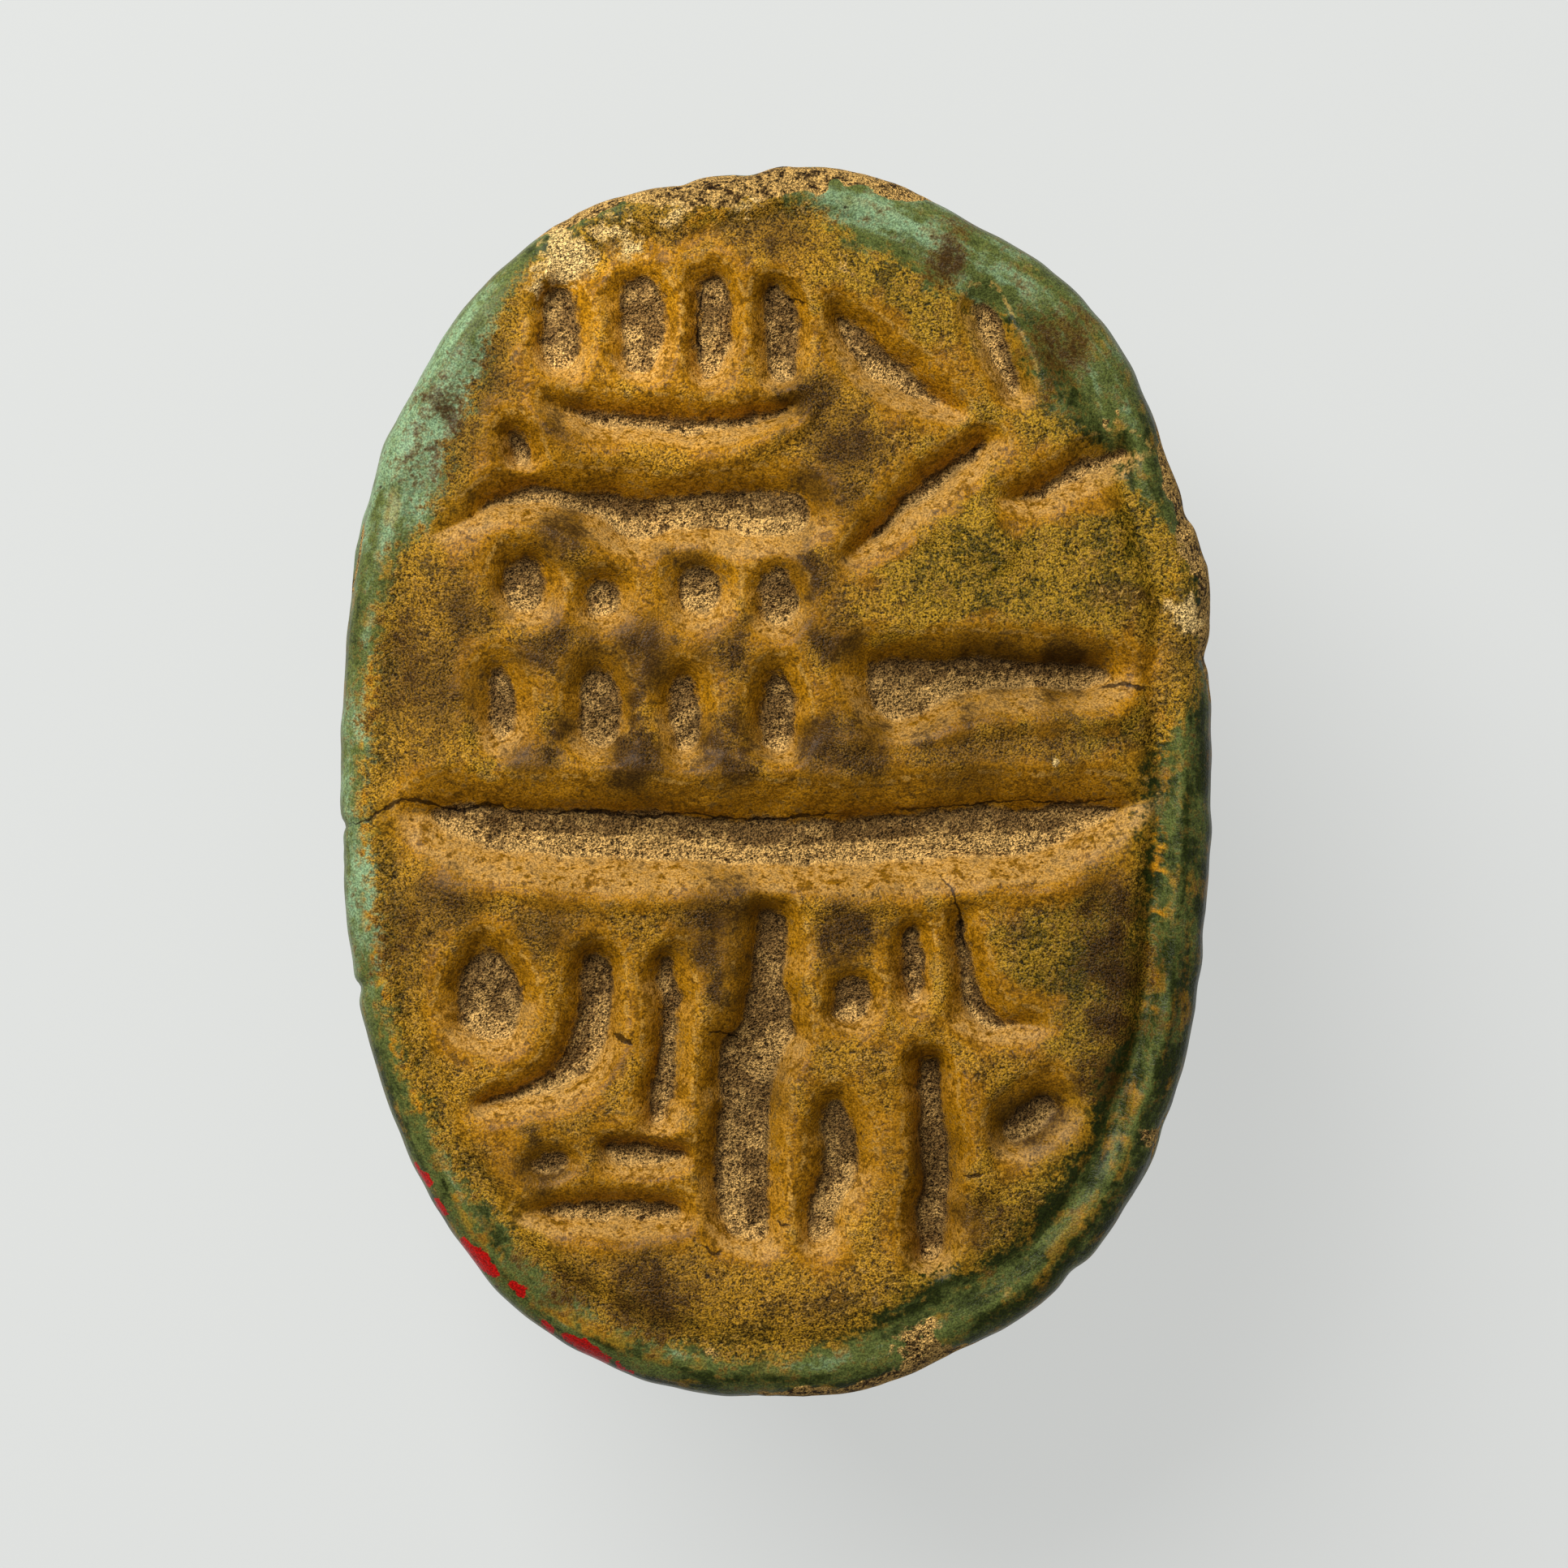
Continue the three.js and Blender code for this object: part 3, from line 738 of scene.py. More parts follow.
# Flecks of red paint, as chains of dabs: x, y, radius.
RED_MARKS = [
    [(-4.26, -6.36, 0.06), (-4.08, -6.54, 0.12), (-3.88, -6.78, 0.05)],
    [(-3.62, -6.88, 0.03), (-3.5, -6.99, 0.05)],
    [(-3.17, -7.49, 0.04), (-3.08, -7.56, 0.05)],
    [(-2.88, -7.66, 0.05), (-2.66, -7.77, 0.1), (-2.4, -7.96, 0.08)],
    [(-2.2, -8.05, 0.03), (-2.05, -8.13, 0.04)],
    [(-4.92, -5.28, 0.03), (-4.75, -5.55, 0.04)],
    [(-4.62, -5.78, 0.03), (-4.54, -5.92, 0.03)],
]
OLIVE = [
    (3.2, 2.9, 1.7, 0.9), (4.6, 3.2, 1.2, 0.8), (4.4, 5.6, 1.3, 1.0), (2.0, 7.0, 1.2, 0.7),
    (4.2, -2.6, 1.2, 0.9), (4.6, -6.0, 1.4, 0.9), (3.0, -7.0, 1.2, 0.6), (-3.6, 0.2, 0.8, 0.3),
    (4.6, 0.8, 0.8, 0.5),
]

# Where the whole finish is lighter, or darker: x, y, radius and how much.
LIGHTNESS = [
    (-2.0, 6.3, 1.5, 0.36), (-5.6, 0.4, 1.2, 0.14), (-1.3, 4.0, 1.0, 0.15), (-1.7, 1.7, 1.6, 0.09),
    (-4.0, -4.4, 1.0, 0.09), (0.9, -6.2, 0.6, 0.06), (0.3, -4.0, 1.0, -0.14), (3.4, -4.6, 0.7, -0.2),
    # Of the next line, the darkening at (3.0, 1.45) lies on the slot's floor and the one at (-3.9, -2.9) on
    # the round stroke's floor: painted shade.
    (4.3, -2.6, 1.2, -0.22), (2.1, -5.4, 0.6, -0.14), (3.0, 1.45, 0.9, -0.14), (-3.9, -2.9, 0.5, -0.12),
]

# Cracks: half width, then the line's points.
CRACKS = [
    (0.026, [(-5.95, -0.62), (-5.6, -0.55), (-5.2, -0.3), (-4.85, -0.28), (-4.4, -0.42), (-3.9, -0.33),
        (-3.4, -0.5)]),
    (0.018, [(-3.4, -0.5), (-2.6, -0.42), (-1.9, -0.5), (-1.2, -0.45), (-0.4, -0.55), (0.4, -0.5),
        (1.3, -0.42)]),
    (0.014, [(1.3, -0.42), (2.2, -0.38), (3.2, -0.28), (4.2, -0.3), (4.85, -0.22)]),
    (0.016, [(2.15, -1.25), (2.4, -1.5), (2.52, -1.9), (2.6, -2.4)]),
    (0.028, [(4.45, 1.28), (4.75, 1.3), (5.1, 1.24)]),
    (0.04, [(-2.24, -3.46), (-2.1, -3.54), (-1.95, -3.6)]),
    (0.022, [(2.55, -5.4), (2.85, -5.38)]),
    (0.014, [(-1.0, 6.8), (-1.08, 6.2), (-1.0, 5.7)]),
    (0.022, [(-0.98, -6.36), (-0.86, -6.46), (-0.74, -6.42)]),
    (0.018, [(0.02, -6.0), (0.1, -6.1), (0.22, -6.08)]),
    (0.014, [(-0.95, -3.4), (-0.5, -3.55)]),
    (0.016, [(0.15, 6.6), (0.45, 6.55)]),
]


def nudged(x, y, amount, size, seed):
    """The points moved about, so that what is laid out on them gets wandering outlines."""
    x = x + amount * Ripple(size, seed)(x, y)
    return x, y + amount * Ripple(size, seed + 1)(x, y)


def blobs(x, y, spots, spread=0.12):
    """How strongly soft spots cover each point. Their outlines wander by about the spread."""
    x, y = nudged(x, y, spread, 0.35, 51)
    cover = np.zeros_like(x)
    for px, py, radius, strength in spots:
        cover = np.maximum(cover, strength * bell(np.hypot(x - px, y - py), 0, radius))
    return cover


def lightness(x, y):
    return sum(much * bell(np.hypot(x - px, y - py), 0, radius) for px, py, radius, much in LIGHTNESS)


def red_marks(x, y):
    """1 on the flecks of red paint, whose outlines are ragged."""
    x, y = nudged(x, y, 0.05, 0.16, 53)
    away = [chain_distance(x, y, dabs) for dabs in RED_MARKS]
    return smooth(np.min(away, axis=0), 0.1, -0.06)


def crack_lines(x, y):
    """The signed distance to the nearest crack, and that crack's half width, which runs out at its ends."""
    nearest, width = np.full_like(x, FAR_AWAY), np.zeros_like(x)
    for half, points in CRACKS:
        line = soft_line(points, 5)
        run = np.linalg.norm(np.diff(line, axis=0), axis=1)
        length, along = run.sum(), 0.0
        for (x0, y0), (x1, y1), step in zip(line, line[1:], run):
            away, t = from_piece(x, y, x0, y0, x1, y1)
            side = np.sign((x1 - x0) * (y - y0) - (y1 - y0) * (x - x0))
            place = (along + t * step) / length
            closer = away < np.abs(nearest)
            nearest = np.where(closer, away * side, nearest)
            taper = np.minimum(1, 5 * np.minimum(place, 1 - place))
            width = np.where(closer, half * taper, width)
            along += step
    return nearest, width


def inward_of_edge(x, y):
    """How far inside the plate's outline each point is."""
    reach = np.hypot(x, y)
    out = (np.abs(2 * x / WIDTH) ** OVAL_POWER + np.abs(2 * y / LENGTH) ** OVAL_POWER) ** (1 / OVAL_POWER)
    edge = reach / np.maximum(out, 1e-6) + edge_shift(np.arctan2(y, x), EDGE_WEAR)
    return edge - reach


def hollows(mesh):
    """Above 0 in the grooves of the surface, to about 1, and below 0 on its ridges."""
    points, normals = read(mesh, "vertices", "co"), read(mesh, "vertices", "normal")
    edges = read(mesh, "edges", "vertices", 2).astype(int)
    start, end = np.concatenate([edges, edges[:, ::-1]]).T
    many = np.bincount(start, minlength=len(points))
    evened = points
    for _ in range(8):
        near = [np.bincount(start, evened[end, axis], len(points)) / many for axis in range(3)]
        evened = np.stack(near, axis=1)
    return np.clip(((evened - points) * normals).sum(axis=1) / 0.1, -2, 2)


def tail_side(x, y):
    """1 on the slopes of a stroke's tail side, 0 on its head side."""
    rise = carved(x, y - 0.05)[1] - carved(x, y + 0.05)[1]
    return smooth(rise / 0.1, -0.2, 0.7)


def paint_masks(made):
    """Stores what the glaze and the body's finish read at each point of the mesh."""
    x, y, z = read(made.data, "vertices", "co").T
    angle = np.arctan2(y, x)
    on_face = smooth(z, PLATE_BOTTOM + 0.2, PLATE_BOTTOM + 0.75)
    _, nearest, foot = carved(x, y)
    crack, crack_width = crack_lines(x, y)
    inward = inward_of_edge(x, y)
    broken = smooth(broken_edge(x, y, inward), -0.08, 0.08)
    ragged = z + 0.3 * Ripple(0.5, 55)(angle * MEAN_RADIUS, z)  # marks don't end along a level line
    masks = {
        "from_cut": np.where(on_face > 0.5, nearest, FAR),
        "from_floor": np.where(on_face > 0.5, foot, FAR),
        "from_edge": np.clip(inward, -0.5, 3) * on_face,
        "green_width": edge_shift(angle, GREEN_WIDTH) + 0.15,
        "green_paleness_and_lit_side": edge_shift(angle, GREEN_PALENESS_AND_LIT_SIDE),
        "ring_patches": edge_shift(angle, RING_PATCHES),
        "ring_place": 0.42 + edge_shift(angle, RING_PLACE),
        "tail_side": tail_side(x, y),
        "stain_and_slot_shade": blobs(x, y, STAINS_AND_SLOT_SHADE, 0.26) * on_face,
        "bare": np.maximum(blobs(x, y, BARE), broken) * smooth(ragged, 6.5, 6.85),
        "pale": blobs(x, y, PALE_CHIPS) * on_face,
        "red": red_marks(x, y) * smooth(ragged, 6.75, 6.95),
        "olive": blobs(x, y, OLIVE) * on_face,
        "lightness": lightness(x, y) * on_face,
        "crack": crack,
        "crack_width": crack_width * smooth(z, 6.4, 6.8),
        "back_line": np.clip(back_lines(x, y, z), 0, 2),
        "face": on_face,
        "hollow": hollows(made.data),
    }
    for name, values in masks.items():
        layer = made.data.attributes.new(name, "FLOAT", "POINT")
        layer.data.foreach_set("value", values.astype(np.float32))


# ---------------------------------------------------------------- the finish


class Wire:
    """A number that varies over the surface. Sums and products of wires add their Math nodes."""

    def __init__(self, finish, socket):
        self.finish = finish
        self.socket = socket

    def math(self, operation, *numbers):
        return self.finish.node("Math", {"operation": operation}, *numbers)

    def __add__(self, other):
        return self.math("ADD", self, other)

    def __sub__(self, other):
        return self.math("SUBTRACT", self, other)

    def __rsub__(self, other):
        return self.math("SUBTRACT", other, self)

    def __mul__(self, other):
        return self.math("MULTIPLY", self, other)

    def __truediv__(self, other):
        return self.math("DIVIDE", self, other)

    def __abs__(self):
        return self.math("ABSOLUTE", self)

    def __or__(self, other):
        return self.math("MAXIMUM", self, other)

    def clamp(self):
        return self.finish.node("Clamp", {}, self)

    __radd__ = __add__
    __rmul__ = __mul__


# Where a Mix node keeps its factor, its two colours and the colour it gives.
COLOUR_MIX_INPUTS = (0, 6, 7)
COLOUR_MIX_OUTPUT = 2


class Finish:
    """A material whose nodes are made by calls."""

    def __init__(self, name):
        self.material = bpy.data.materials.new(name)
        self.material.use_nodes = True
        self.tree = self.material.node_tree
        self.tree.nodes.clear()
        place = self.node("TexCoord", {}, output="Object")
        self.place = self.node("VectorMath", {"operation": "SCALE"}, place, Scale=1 / MM)

    def node(self, kind, settings, *values, output=0, **named):
        """Adds a node: its type, its settings, then the values or links of its sockets."""
        made = self.tree.nodes.new("ShaderNode" + kind)
        for name, value in settings.items():
            setattr(made, name, value)
        for key, value in [*enumerate(values), *named.items()]:
            self.fill(made.inputs[key if isinstance(key, int) else key.replace("_", " ")], value)
        return Wire(self, made.outputs[output]) if made.outputs else None

    def fill(self, socket, value):
        """Links a wire to a socket, or sets the socket to a plain value."""
        if isinstance(value, Wire):
            self.tree.links.new(value.socket, socket)
        else:
            socket.default_value = value

    def mask(self, name):
        return self.node("Attribute", {"attribute_name": name}, output="Fac")

    def noise(self, size, detail, roughness, shift=0.0):
        """Soft unevenness around 0.5, with features of about the given size in millimetres."""
        place = self.place
        if shift:
            place = self.node("VectorMath", {"operation": "ADD"}, place, (shift, 2 * shift, 3 * shift))
        return self.node("TexNoise", {}, Vector=place, Scale=1 / size, Detail=detail, Roughness=roughness)

    def streaks(self, along, across, shift=0.0):
        """Unevenness drawn out along the border, with features of about these lengths both ways."""
        level = self.node("VectorMath", {"operation": "MULTIPLY"}, self.place, (1, 1, 0))
        way = self.node("VectorMath", {"operation": "NORMALIZE"}, level)
        around = self.node("VectorMath", {"operation": "SCALE"}, way, Scale=MEAN_RADIUS / along)
        x = self.node("SeparateXYZ", {}, around, output="X") + shift
        y = self.node("SeparateXYZ", {}, around, output="Y")
        down = self.node("SeparateXYZ", {}, self.place, output="Z") / along
        place = self.node("CombineXYZ", {}, x, y, self.mask("from_edge") / across + down)
        return self.node("TexNoise", {}, Vector=place, Scale=1.0, Detail=3.0, Roughness=0.6)

    def cells(self, size):
        """The distance to the nearest of scattered points, as a part of size."""
        return self.node("TexVoronoi", {}, Vector=self.place, Scale=1 / size)

    def soft(self, value, low, high):
        """0 at low and 1 at high, with soft ends."""
        if low > high:
            return 1 - self.soft(value, high, low)
        return self.node("MapRange", {"interpolation_type": "SMOOTHSTEP"}, value, low, high)

    def blend(self, first, second, amount):
        """One colour turning into another."""
        made = self.tree.nodes.new("ShaderNodeMix")
        made.data_type = "RGBA"
        for index, value in zip(COLOUR_MIX_INPUTS, (amount, first, second)):
            self.fill(made.inputs[index], value)
        return Wire(self, made.outputs[COLOUR_MIX_OUTPUT])

    def lay(self, under, over, value, low, high, most=1.0):
        """Lays one colour over another where a value goes from low to high, at most so much."""
        amount = self.soft(value, low, high)
        return self.blend(under, over, amount if most == 1 else amount * most)

    def shade(self, colour, factor):
        """A colour made darker or lighter by a number."""
        return self.node("VectorMath", {"operation": "SCALE"}, colour, Scale=factor)


def colour(red, green, blue):
    """A colour from its screen values, 0 to 255, as light."""
    light = [(v / 255 / 12.92) if v < 11 else ((v / 255 + 0.055) / 1.055) ** 2.4 for v in (red, green, blue)]
    return (*light, 1.0)


UMBER = colour(90, 64, 18)
DARK_UMBER = colour(58, 38, 14)
DULL_OCHRE = colour(154, 111, 24)
TAN_FLECK = colour(196, 154, 78)
OCHRE_GLAZE = colour(168, 114, 10)
DEEP_OCHRE = colour(124, 82, 4)
KHAKI_GLAZE = colour(146, 112, 26)
DARK_OLIVE = colour(74, 62, 8)
# The sandy body lit, and the same body in shade: painted light and painted shade on the floors.
LIT_SANDY_BODY = colour(210, 166, 96)
SHADED_BODY = colour(114, 85, 45)
# The paler tail-side walls, which face the key light: wear and painted light.
LIT_AND_WORN_SLOPE = colour(182, 140, 76)
PORE = colour(66, 40, 10)
GREEN_GLAZE = colour(82, 90, 42)
DEEP_GREEN = colour(36, 42, 10)
TURQUOISE = colour(126, 153, 113)
STAIN = colour(54, 34, 6)
STAIN_EDGE = colour(86, 60, 16)
BROWN_BODY = colour(188, 148, 82)
PALE_BODY = colour(226, 190, 122)
RED_PAINT = colour(158, 12, 5)
# Dark dirt in the cracks and pinholes, and painted shade at the foot of the head-side walls.
CRACK_DIRT_AND_FOOT_SHADE = colour(30, 16, 4)


class Glaze(Finish):
    """The amulet's finish, with what its layers share: the unevenness, and where some of them lie."""

    def __init__(self):
        super().__init__("worn glaze over a sandy body")
        self.broad = self.noise(1.1, 3.0, 0.6)
        self.middle = self.noise(0.42, 3.0, 0.62, shift=7.0)
        self.fine = self.noise(0.14, 2.0, 0.65, shift=13.0)
        self.pepper = self.noise(0.062, 1.5, 0.75, shift=17.0)
        self.grain = self.noise(0.028, 1.0, 0.7, shift=23.0)
        self.mottle = self.mixed(middle=0.5, pepper=0.5)

        self.face = self.mask("face")
        self.tail_side = self.mask("tail_side")
        self.from_edge = self.mask("from_edge")
        self.from_cut = self.mask("from_cut") + self.swing(fine=0.12)
        self.near_cut = self.soft(self.from_cut + self.swing(broad=1.1, middle=0.9), 0.38, 0.1)
        self.floor = self.soft(self.mask("from_floor") + self.swing(fine=0.2), 0.07, -0.03)
        # Tail-side walls of the cuts, which face the key light; their paler colour is wear and painted light.
        self.slope = self.tail_side * self.soft(self.from_cut, 0.1, 0.0)
        self.slope = self.slope * self.soft(self.mixed(fine=0.4, mottle=0.6), 0.4, 0.58)
        self.past_green = self.from_edge - self.mask("green_width") * (1 + self.swing(broad=1.2))
        self.past_green = self.past_green + self.swing(middle=0.6)
        self.green = self.soft(self.past_green + self.swing(fine=0.6, pepper=0.3), 0.16, -0.14)
        self.bare = self.soft(self.mask("bare") + self.swing(middle=1.2, fine=0.8), 0.38, 0.58)
        self.pale = self.soft(self.mask("pale") + self.swing(middle=1.4, fine=1.0), 0.4, 0.8)

    def mixed(self, **parts):
        """The named unevennesses added up, each times its part."""
        terms = [getattr(self, name) * part for name, part in parts.items()]
        return sum(terms[1:], terms[0])

    def swing(self, **parts):
        """The same, around 0."""
        return self.mixed(**parts) - 0.5 * sum(parts.values())


def field_glaze(f):
    """Thin glaze over the plain parts of the face: ochre and umber, olive to the right."""
    patches = f.mixed(broad=0.3, middle=0.4, fine=0.12, pepper=0.18)
    tone = f.lay(UMBER, DULL_OCHRE, patches, 0.43, 0.56)
    tone = f.lay(tone, TAN_FLECK, f.mixed(pepper=0.6, fine=0.4), 0.55, 0.66, 0.55)
    uneven = f.mixed(broad=0.35, middle=0.3, fine=0.1, pepper=0.25)
    green_brown = f.lay(DARK_OLIVE, KHAKI_GLAZE, uneven, 0.43, 0.55)
    tone = f.lay(tone, green_brown, f.mask("olive") + f.swing(middle=1.4, broad=0.8), 0.15, 0.55, 0.9)
    return f.lay(tone, TAN_FLECK, f.mixed(middle=0.45, fine=0.2, pepper=0.35), 0.56, 0.64, 0.5)


def ochre_glaze(f):
    """The thicker glaze that pooled along the cuts."""
    tone = f.lay(DEEP_OCHRE, OCHRE_GLAZE, f.mixed(middle=0.4, fine=0.3, pepper=0.3), 0.42, 0.56)
    tone = f.lay(tone, TAN_FLECK, f.mixed(middle=0.3, fine=0.3, pepper=0.4), 0.54, 0.62, 0.5)
    return f.lay(tone, UMBER, f.mixed(pepper=0.5, fine=0.5), 0.46, 0.34, 0.6)


def sandy_body(f):
    """The gritty body on the floors of the cuts: full of pores, in lit and shaded copies of its colour, and
    darker under the head-side wall as painted shade.
    """
    # The lean towards the shaded colour on the head side of each floor is painted shade from the head-side
    # wall.
    place = f.mixed(middle=0.45, fine=0.3, pepper=0.25) + 0.11 * (f.tail_side - 0.55)
    tone = f.lay(SHADED_BODY, LIT_SANDY_BODY, place, 0.42, 0.57)
    small = f.soft(f.cells(0.08), 0.34, 0.1) * f.soft(f.mixed(fine=0.5, middle=0.5), 0.47, 0.55)
    large = f.soft(f.cells(0.26) + f.swing(pepper=0.5), 0.16, 0.07)
    return f.blend(tone, PORE, (small | large) * 0.8)


def border_glaze(f, ochre):
    """The green that is left round the border, smooth and streaked along it, with painted light: lighter on
    the crest and on the sides that face the key light.
    """
    # How pale the green is: paler glaze, and painted light on the sides that face the key light.
    light = f.mask("green_paleness_and_lit_side")
    # A lighter line along the border's crest: painted highlight.
    crest = f.soft(abs(f.from_edge - 0.5 + f.swing(broad=0.6)), 0.22, 0.04)
    inner = f.soft(f.from_edge, 0.7, 1.3)
    uneven = 1.3 * (f.streaks(0.9, 0.22) - 0.5) + f.swing(middle=0.8, fine=0.7)
    level = 0.25 + 0.52 * light + 0.13 * crest - 0.3 * inner + uneven
    tone = f.lay(DEEP_GREEN, GREEN_GLAZE, level, 0.05, 0.5)
    tone = f.lay(tone, TURQUOISE, level, 0.5, 1.0)
    rubbed = f.streaks(0.6, 0.25, 5.0) * 0.5 + f.mixed(middle=0.3, fine=0.2)
    return f.blend(tone, ochre, f.soft(rubbed, 0.52, 0.64) * (0.5 - 0.3 * light))


def ring_patches(f):
    """How much of the drawn-out ochre patches along the border's ring covers each point."""
    place = f.soft(abs(f.from_edge - f.mask("ring_place") + f.swing(broad=0.3)), 0.16, 0.05)
    drawn_out = f.soft(f.streaks(0.5, 0.6, 9.0) * 0.8 + f.fine * 0.2, 0.49, 0.58)
    return place * drawn_out * f.mask("ring_patches")


def face_glaze(f):
    """The glaze of the face: thin on the fields, pooled along the cuts, green round the border."""
    ochre = ochre_glaze(f)
    tone = f.blend(field_glaze(f), ochre, f.near_cut * 0.85)
    olive_wash = f.lay(DARK_OLIVE, KHAKI_GLAZE, f.mottle, 0.42, 0.56)
    tone = f.lay(tone, olive_wash, f.past_green, 0.75, -0.05, 0.6)
    tone = f.blend(tone, border_glaze(f, ochre), f.green)
    ochre_patch = f.lay(KHAKI_GLAZE, OCHRE_GLAZE, f.fine, 0.42, 0.58)
    return f.blend(tone, ochre_patch, ring_patches(f) * 0.85)


def side_glaze(f):
    """The glaze on the sides and the beetle's back, dark in the grooves and rubbed off the ridges."""
    patches = f.mixed(broad=0.5, middle=0.25, fine=0.1, pepper=0.15)
    tone = f.lay(GREEN_GLAZE, TURQUOISE, patches, 0.44, 0.64, 0.75)
    tone = f.lay(tone, DEEP_GREEN, patches, 0.46, 0.34, 0.5)
    tone = f.lay(tone, UMBER, f.mixed(pepper=0.6, fine=0.4), 0.54, 0.66, 0.5)
    hollow = f.mask("hollow") + f.swing(middle=0.9, fine=0.5, pepper=0.5)
    tone = f.lay(tone, DULL_OCHRE, hollow, -0.35, -0.75, 0.6)
    tone = f.lay(tone, BROWN_BODY, hollow, -0.7, -1.05, 0.8)
    return f.lay(tone, DARK_UMBER, hollow, 0.2, 0.8, 0.75)


def walls_with_painted_light(f, tone):
    """Walls on the tail side of the cuts painted paler, partly wear and partly painted light where they face
    the key light, and painted highlight lines along the lips on their head side.
    """
    # Paler tail-side walls: painted light as well as wear.
    tone = f.blend(tone, LIT_AND_WORN_SLOPE, f.slope * 0.85)
    # Thin pale lines along the head-side lips: painted highlight.
    lip = (1 - f.tail_side) * f.soft(abs(f.from_cut - 0.1), 0.05, 0.015) * f.soft(f.fine, 0.46, 0.56)
    return f.blend(tone, TAN_FLECK, lip * 0.4)


def stained_floors_with_painted_shade(f, tone):
    """Dark stains, with painted shade among them on the slot's floor, then the sandy floors of the cuts, with
    painted shade along the foot of their head-side walls.
    """
    # Where this lies on the slot's floor, its darkening is painted shade.
    stain_and_slot_shade = f.mask("stain_and_slot_shade") + f.swing(middle=1.5, fine=1.4, pepper=1.7)
    halo = f.soft(stain_and_slot_shade, 0.0, 0.6)
    tone = f.blend(tone, STAIN_EDGE, halo * 0.7)
    tone = f.lay(tone, STAIN, stain_and_slot_shade, 0.34, 0.96, 0.9)
    tone = f.blend(tone, sandy_body(f), f.floor)
    tone = f.blend(tone, STAIN, halo * f.floor * 0.5)
    # A dark line at the foot of the head-side walls only: painted shade.
    foot = f.soft(abs(f.mask("from_floor") + f.swing(fine=0.12)), 0.05, 0.01) * (1 - f.tail_side)
    return f.blend(tone, CRACK_DIRT_AND_FOOT_SHADE, foot * f.soft(f.mottle, 0.45, 0.53) * 0.65)


def bare_body(f, tone):
    """Brown body on the breaks, pale body on the chips and red paint on the edge."""
    rough_body = f.lay(DARK_UMBER, BROWN_BODY, f.mixed(fine=0.4, mottle=0.6), 0.4, 0.54)
    tone = f.blend(tone, rough_body, f.bare)
    tone = f.blend(tone, PALE_BODY, f.pale * 0.8)
    return f.lay(tone, RED_PAINT, f.mask("red") + f.swing(fine=1.0, pepper=0.6), 0.42, 0.56)


def crack_lines_mask(f):
    """1 along the cracks, which wander and change width a little."""
    wander = 0.16 * (f.noise(0.2, 2.0, 0.65, shift=29.0) - 0.5)
    half = f.mask("crack_width") * (2.4 * f.middle - 0.3)
    return f.soft(abs(f.mask("crack") + wander) - half, 0.01, -0.006) * f.soft(half, 0.002, 0.008)


def glazed_ceramic():
    """Worn glaze over a sandy moulded body."""
    f = Glaze()
    tone = stained_floors_with_painted_shade(f, walls_with_painted_light(f, face_glaze(f)))
    tone = bare_body(f, f.blend(side_glaze(f), tone, f.face))
    in_line = f.soft(f.mask("back_line") + f.swing(fine=0.2), 0.22, 0.04) * (1 - f.face)
    tone = f.blend(tone, STAIN, in_line * 0.7)
    crack = crack_lines_mask(f)
    pinholes = f.soft(f.cells(0.75), 0.045, 0.02) * f.face
    tone = f.blend(tone, CRACK_DIRT_AND_FOOT_SHADE, (crack * 0.85) | (pinholes * 0.8))

    sandy = f.floor | f.bare | f.pale
    glossy = (1 - sandy) * (f.green | f.near_cut)
    grit = 1.2 * (f.soft(f.grain, 0.36, 0.64) - 0.5) + 0.55 * (f.soft(f.pepper, 0.34, 0.66) - 0.5)
    tone = f.shade(tone, (0.96 + f.mask("lightness")) * (1 + grit * (1.05 - 0.5 * glossy)))
    rough = 0.36 + 0.45 * sandy + 0.15 * f.slope + f.swing(fine=0.35)
    bump = f.node(
        "Bump",
        {},
        Strength=(0.46 + 0.54 * sandy - 0.2 * glossy).clamp(),
        Distance=0.08 * MM,
        Height=f.mixed(grain=1.1, pepper=0.9, fine=0.9, middle=0.6) - 1.2 * crack,
    )
    shader = f.node(
        "BsdfPrincipled",
        {},
        Base_Color=tone,
        Roughness=rough.clamp(),
        Normal=bump,
        Specular_IOR_Level=0.08,
        Coat_Weight=glossy * 0.04,
        Coat_Roughness=0.2,
    )
    f.node("OutputMaterial", {}, shader)
    return f.material


# ---------------------------------------------------------------- floor, light and camera


def pale_board():
    """The floor's finish: a plain pale board, glowing softly so that shadows stay faint."""
    f = Finish("pale board")
    shader = f.node(
        "BsdfPrincipled",
        {},
        Base_Color=(0.165, 0.168, 0.165, 1),
        Roughness=0.95,
        Specular_IOR_Level=0.1,
        Emission_Color=(0.985, 1.0, 0.98, 1),
        Emission_Strength=0.54,
    )
    f.node("OutputMaterial", {}, shader)
    return f.material


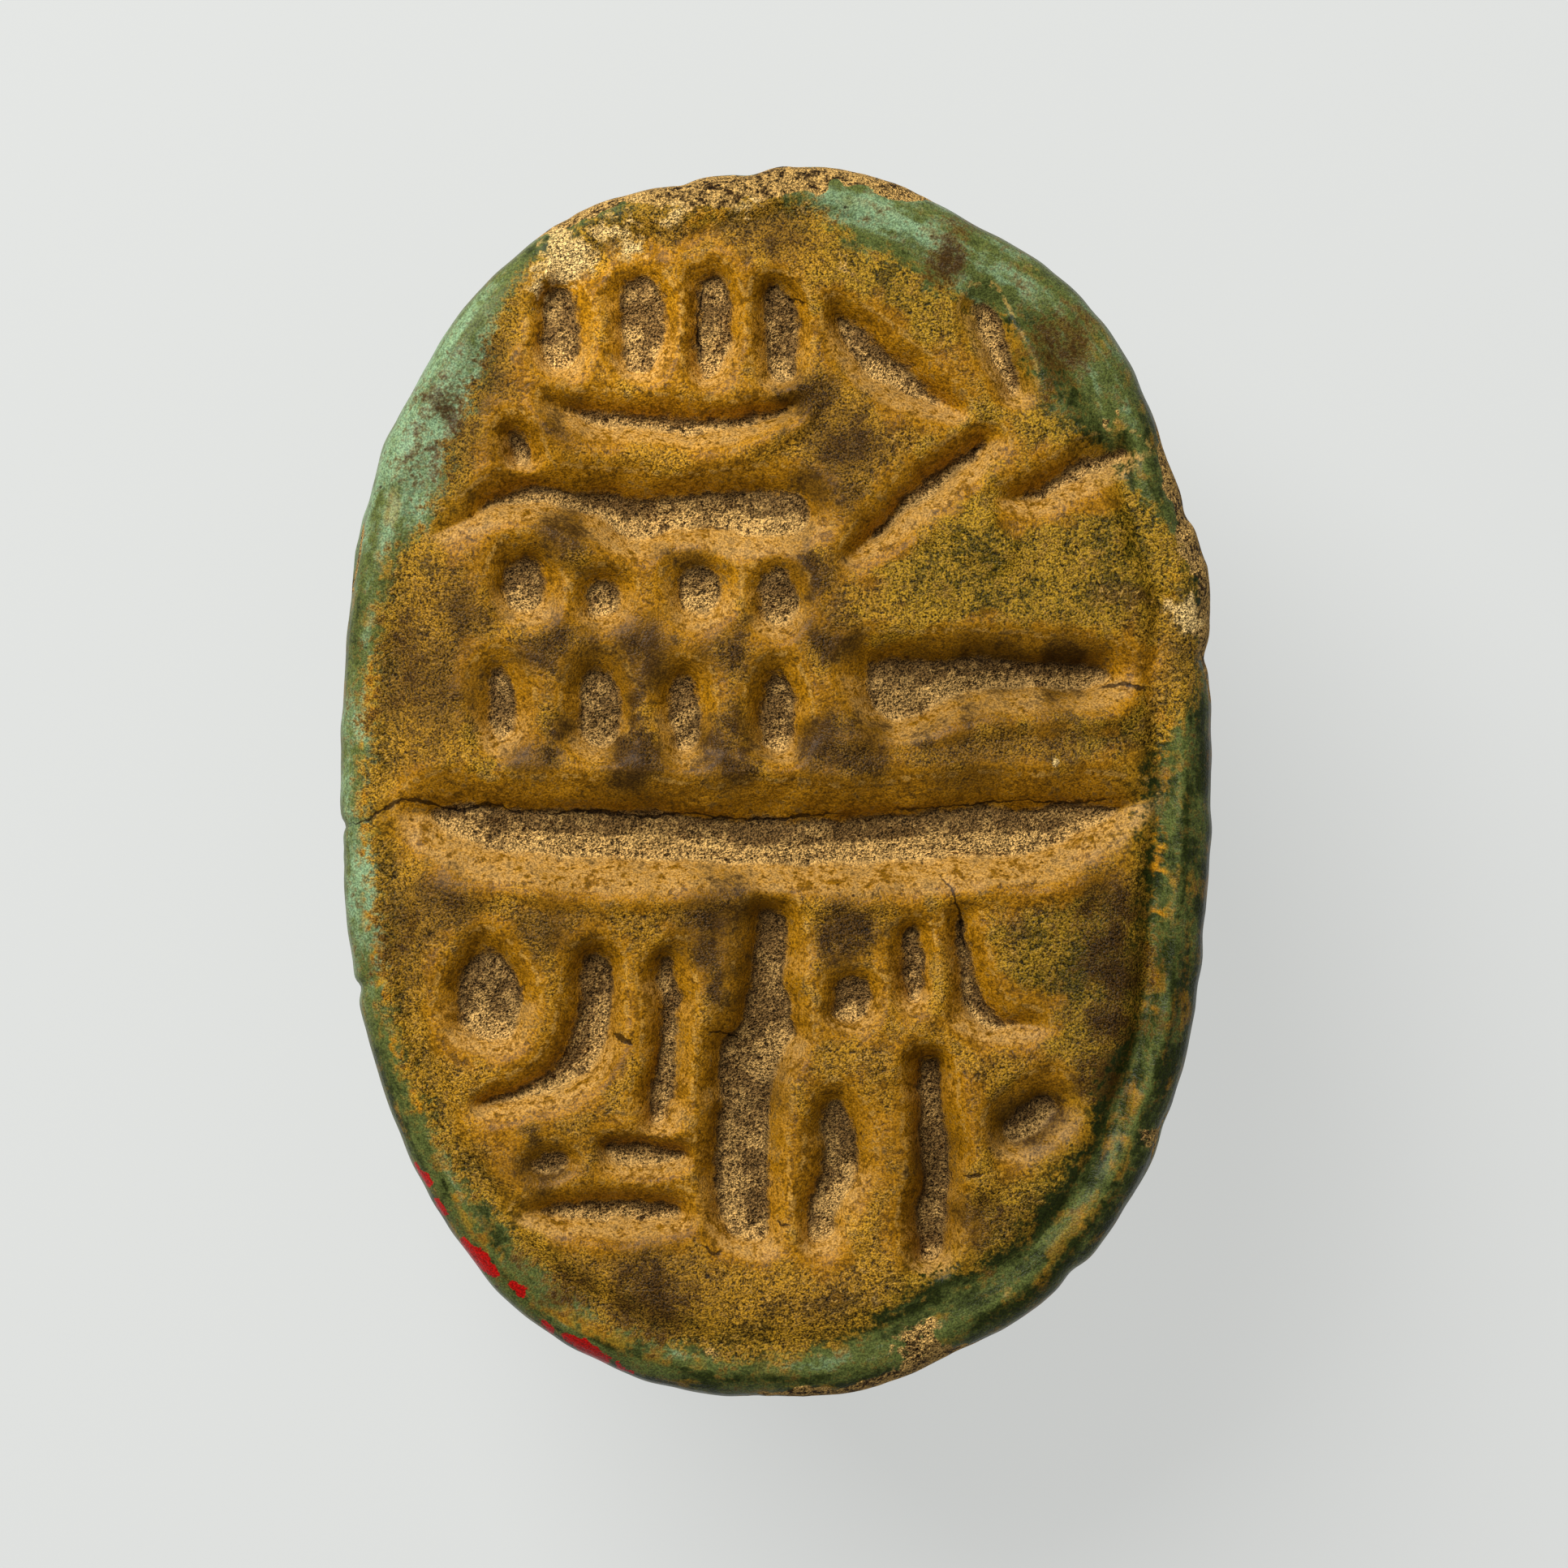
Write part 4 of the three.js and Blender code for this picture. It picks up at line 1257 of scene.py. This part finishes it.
def pale_floor():
    side = 1.0
    mesh = bpy.data.meshes.new("floor")
    corners = [(-side, -side, 0), (side, -side, 0), (side, side, 0), (-side, side, 0)]
    mesh.from_pydata(corners, [], [(0, 1, 2, 3)])
    mesh.materials.append(pale_board())
    made = bpy.data.objects.new("floor", mesh)
    bpy.context.scene.collection.objects.link(made)


def soft_light(name, azimuth, elevation, distance, size, watts):
    """A square soft light aimed at the amulet. Azimuth 0 is over the head end."""
    light = bpy.data.lights.new(name, "AREA")
    light.size = size
    light.energy = watts
    made = bpy.data.objects.new(name, light)
    a, e = math.radians(azimuth), math.radians(elevation)
    way = np.array([math.sin(a) * math.cos(e), math.cos(a) * math.cos(e), math.sin(e)])
    made.location = way * distance
    made.visible_camera = False
    aim = Vector((0, 0, HEIGHT * MM)) - made.location
    made.rotation_mode = "QUATERNION"
    made.rotation_quaternion = aim.to_track_quat("-Z", "Y")
    bpy.context.scene.collection.objects.link(made)


def lights():
    soft_light("key from the head end", -36, 46, 0.16, 0.1, 0.385)
    soft_light("wide overhead", 0, 85, 0.5, 0.5, 0.26)
    world = bpy.data.worlds.new("pale room")
    bpy.context.scene.world = world
    world.use_nodes = True
    sky = world.node_tree.nodes["Background"]
    sky.inputs["Color"].default_value = (0.93, 0.96, 0.95, 1)
    sky.inputs["Strength"].default_value = 0.28


CAMERA_PLACE = (0.11, -0.05)
CAMERA_ABOVE = 59.4


def camera():
    """Straight above the face, with the head end up."""
    lens = bpy.data.cameras.new("camera")
    lens.lens = 100
    lens.sensor_width = 36
    lens.clip_start = 0.001
    lens.clip_end = 10
    made = bpy.data.objects.new("camera", lens)
    made.location = Vector((*CAMERA_PLACE, HEIGHT + CAMERA_ABOVE)) * MM
    bpy.context.scene.collection.objects.link(made)
    bpy.context.scene.camera = made


def main():
    camera()
    lights()
    pale_floor()
    amulet = amulet_object()
    paint_masks(amulet)
    amulet.data.transform(Matrix.Scale(MM, 4))
    amulet.data.materials.append(glazed_ceramic())
    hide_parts("scarab")
    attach(amulet, "root")
    bpy.context.scene.view_settings.view_transform = "Standard"
    bpy.context.scene.view_settings.look = "None"


main()
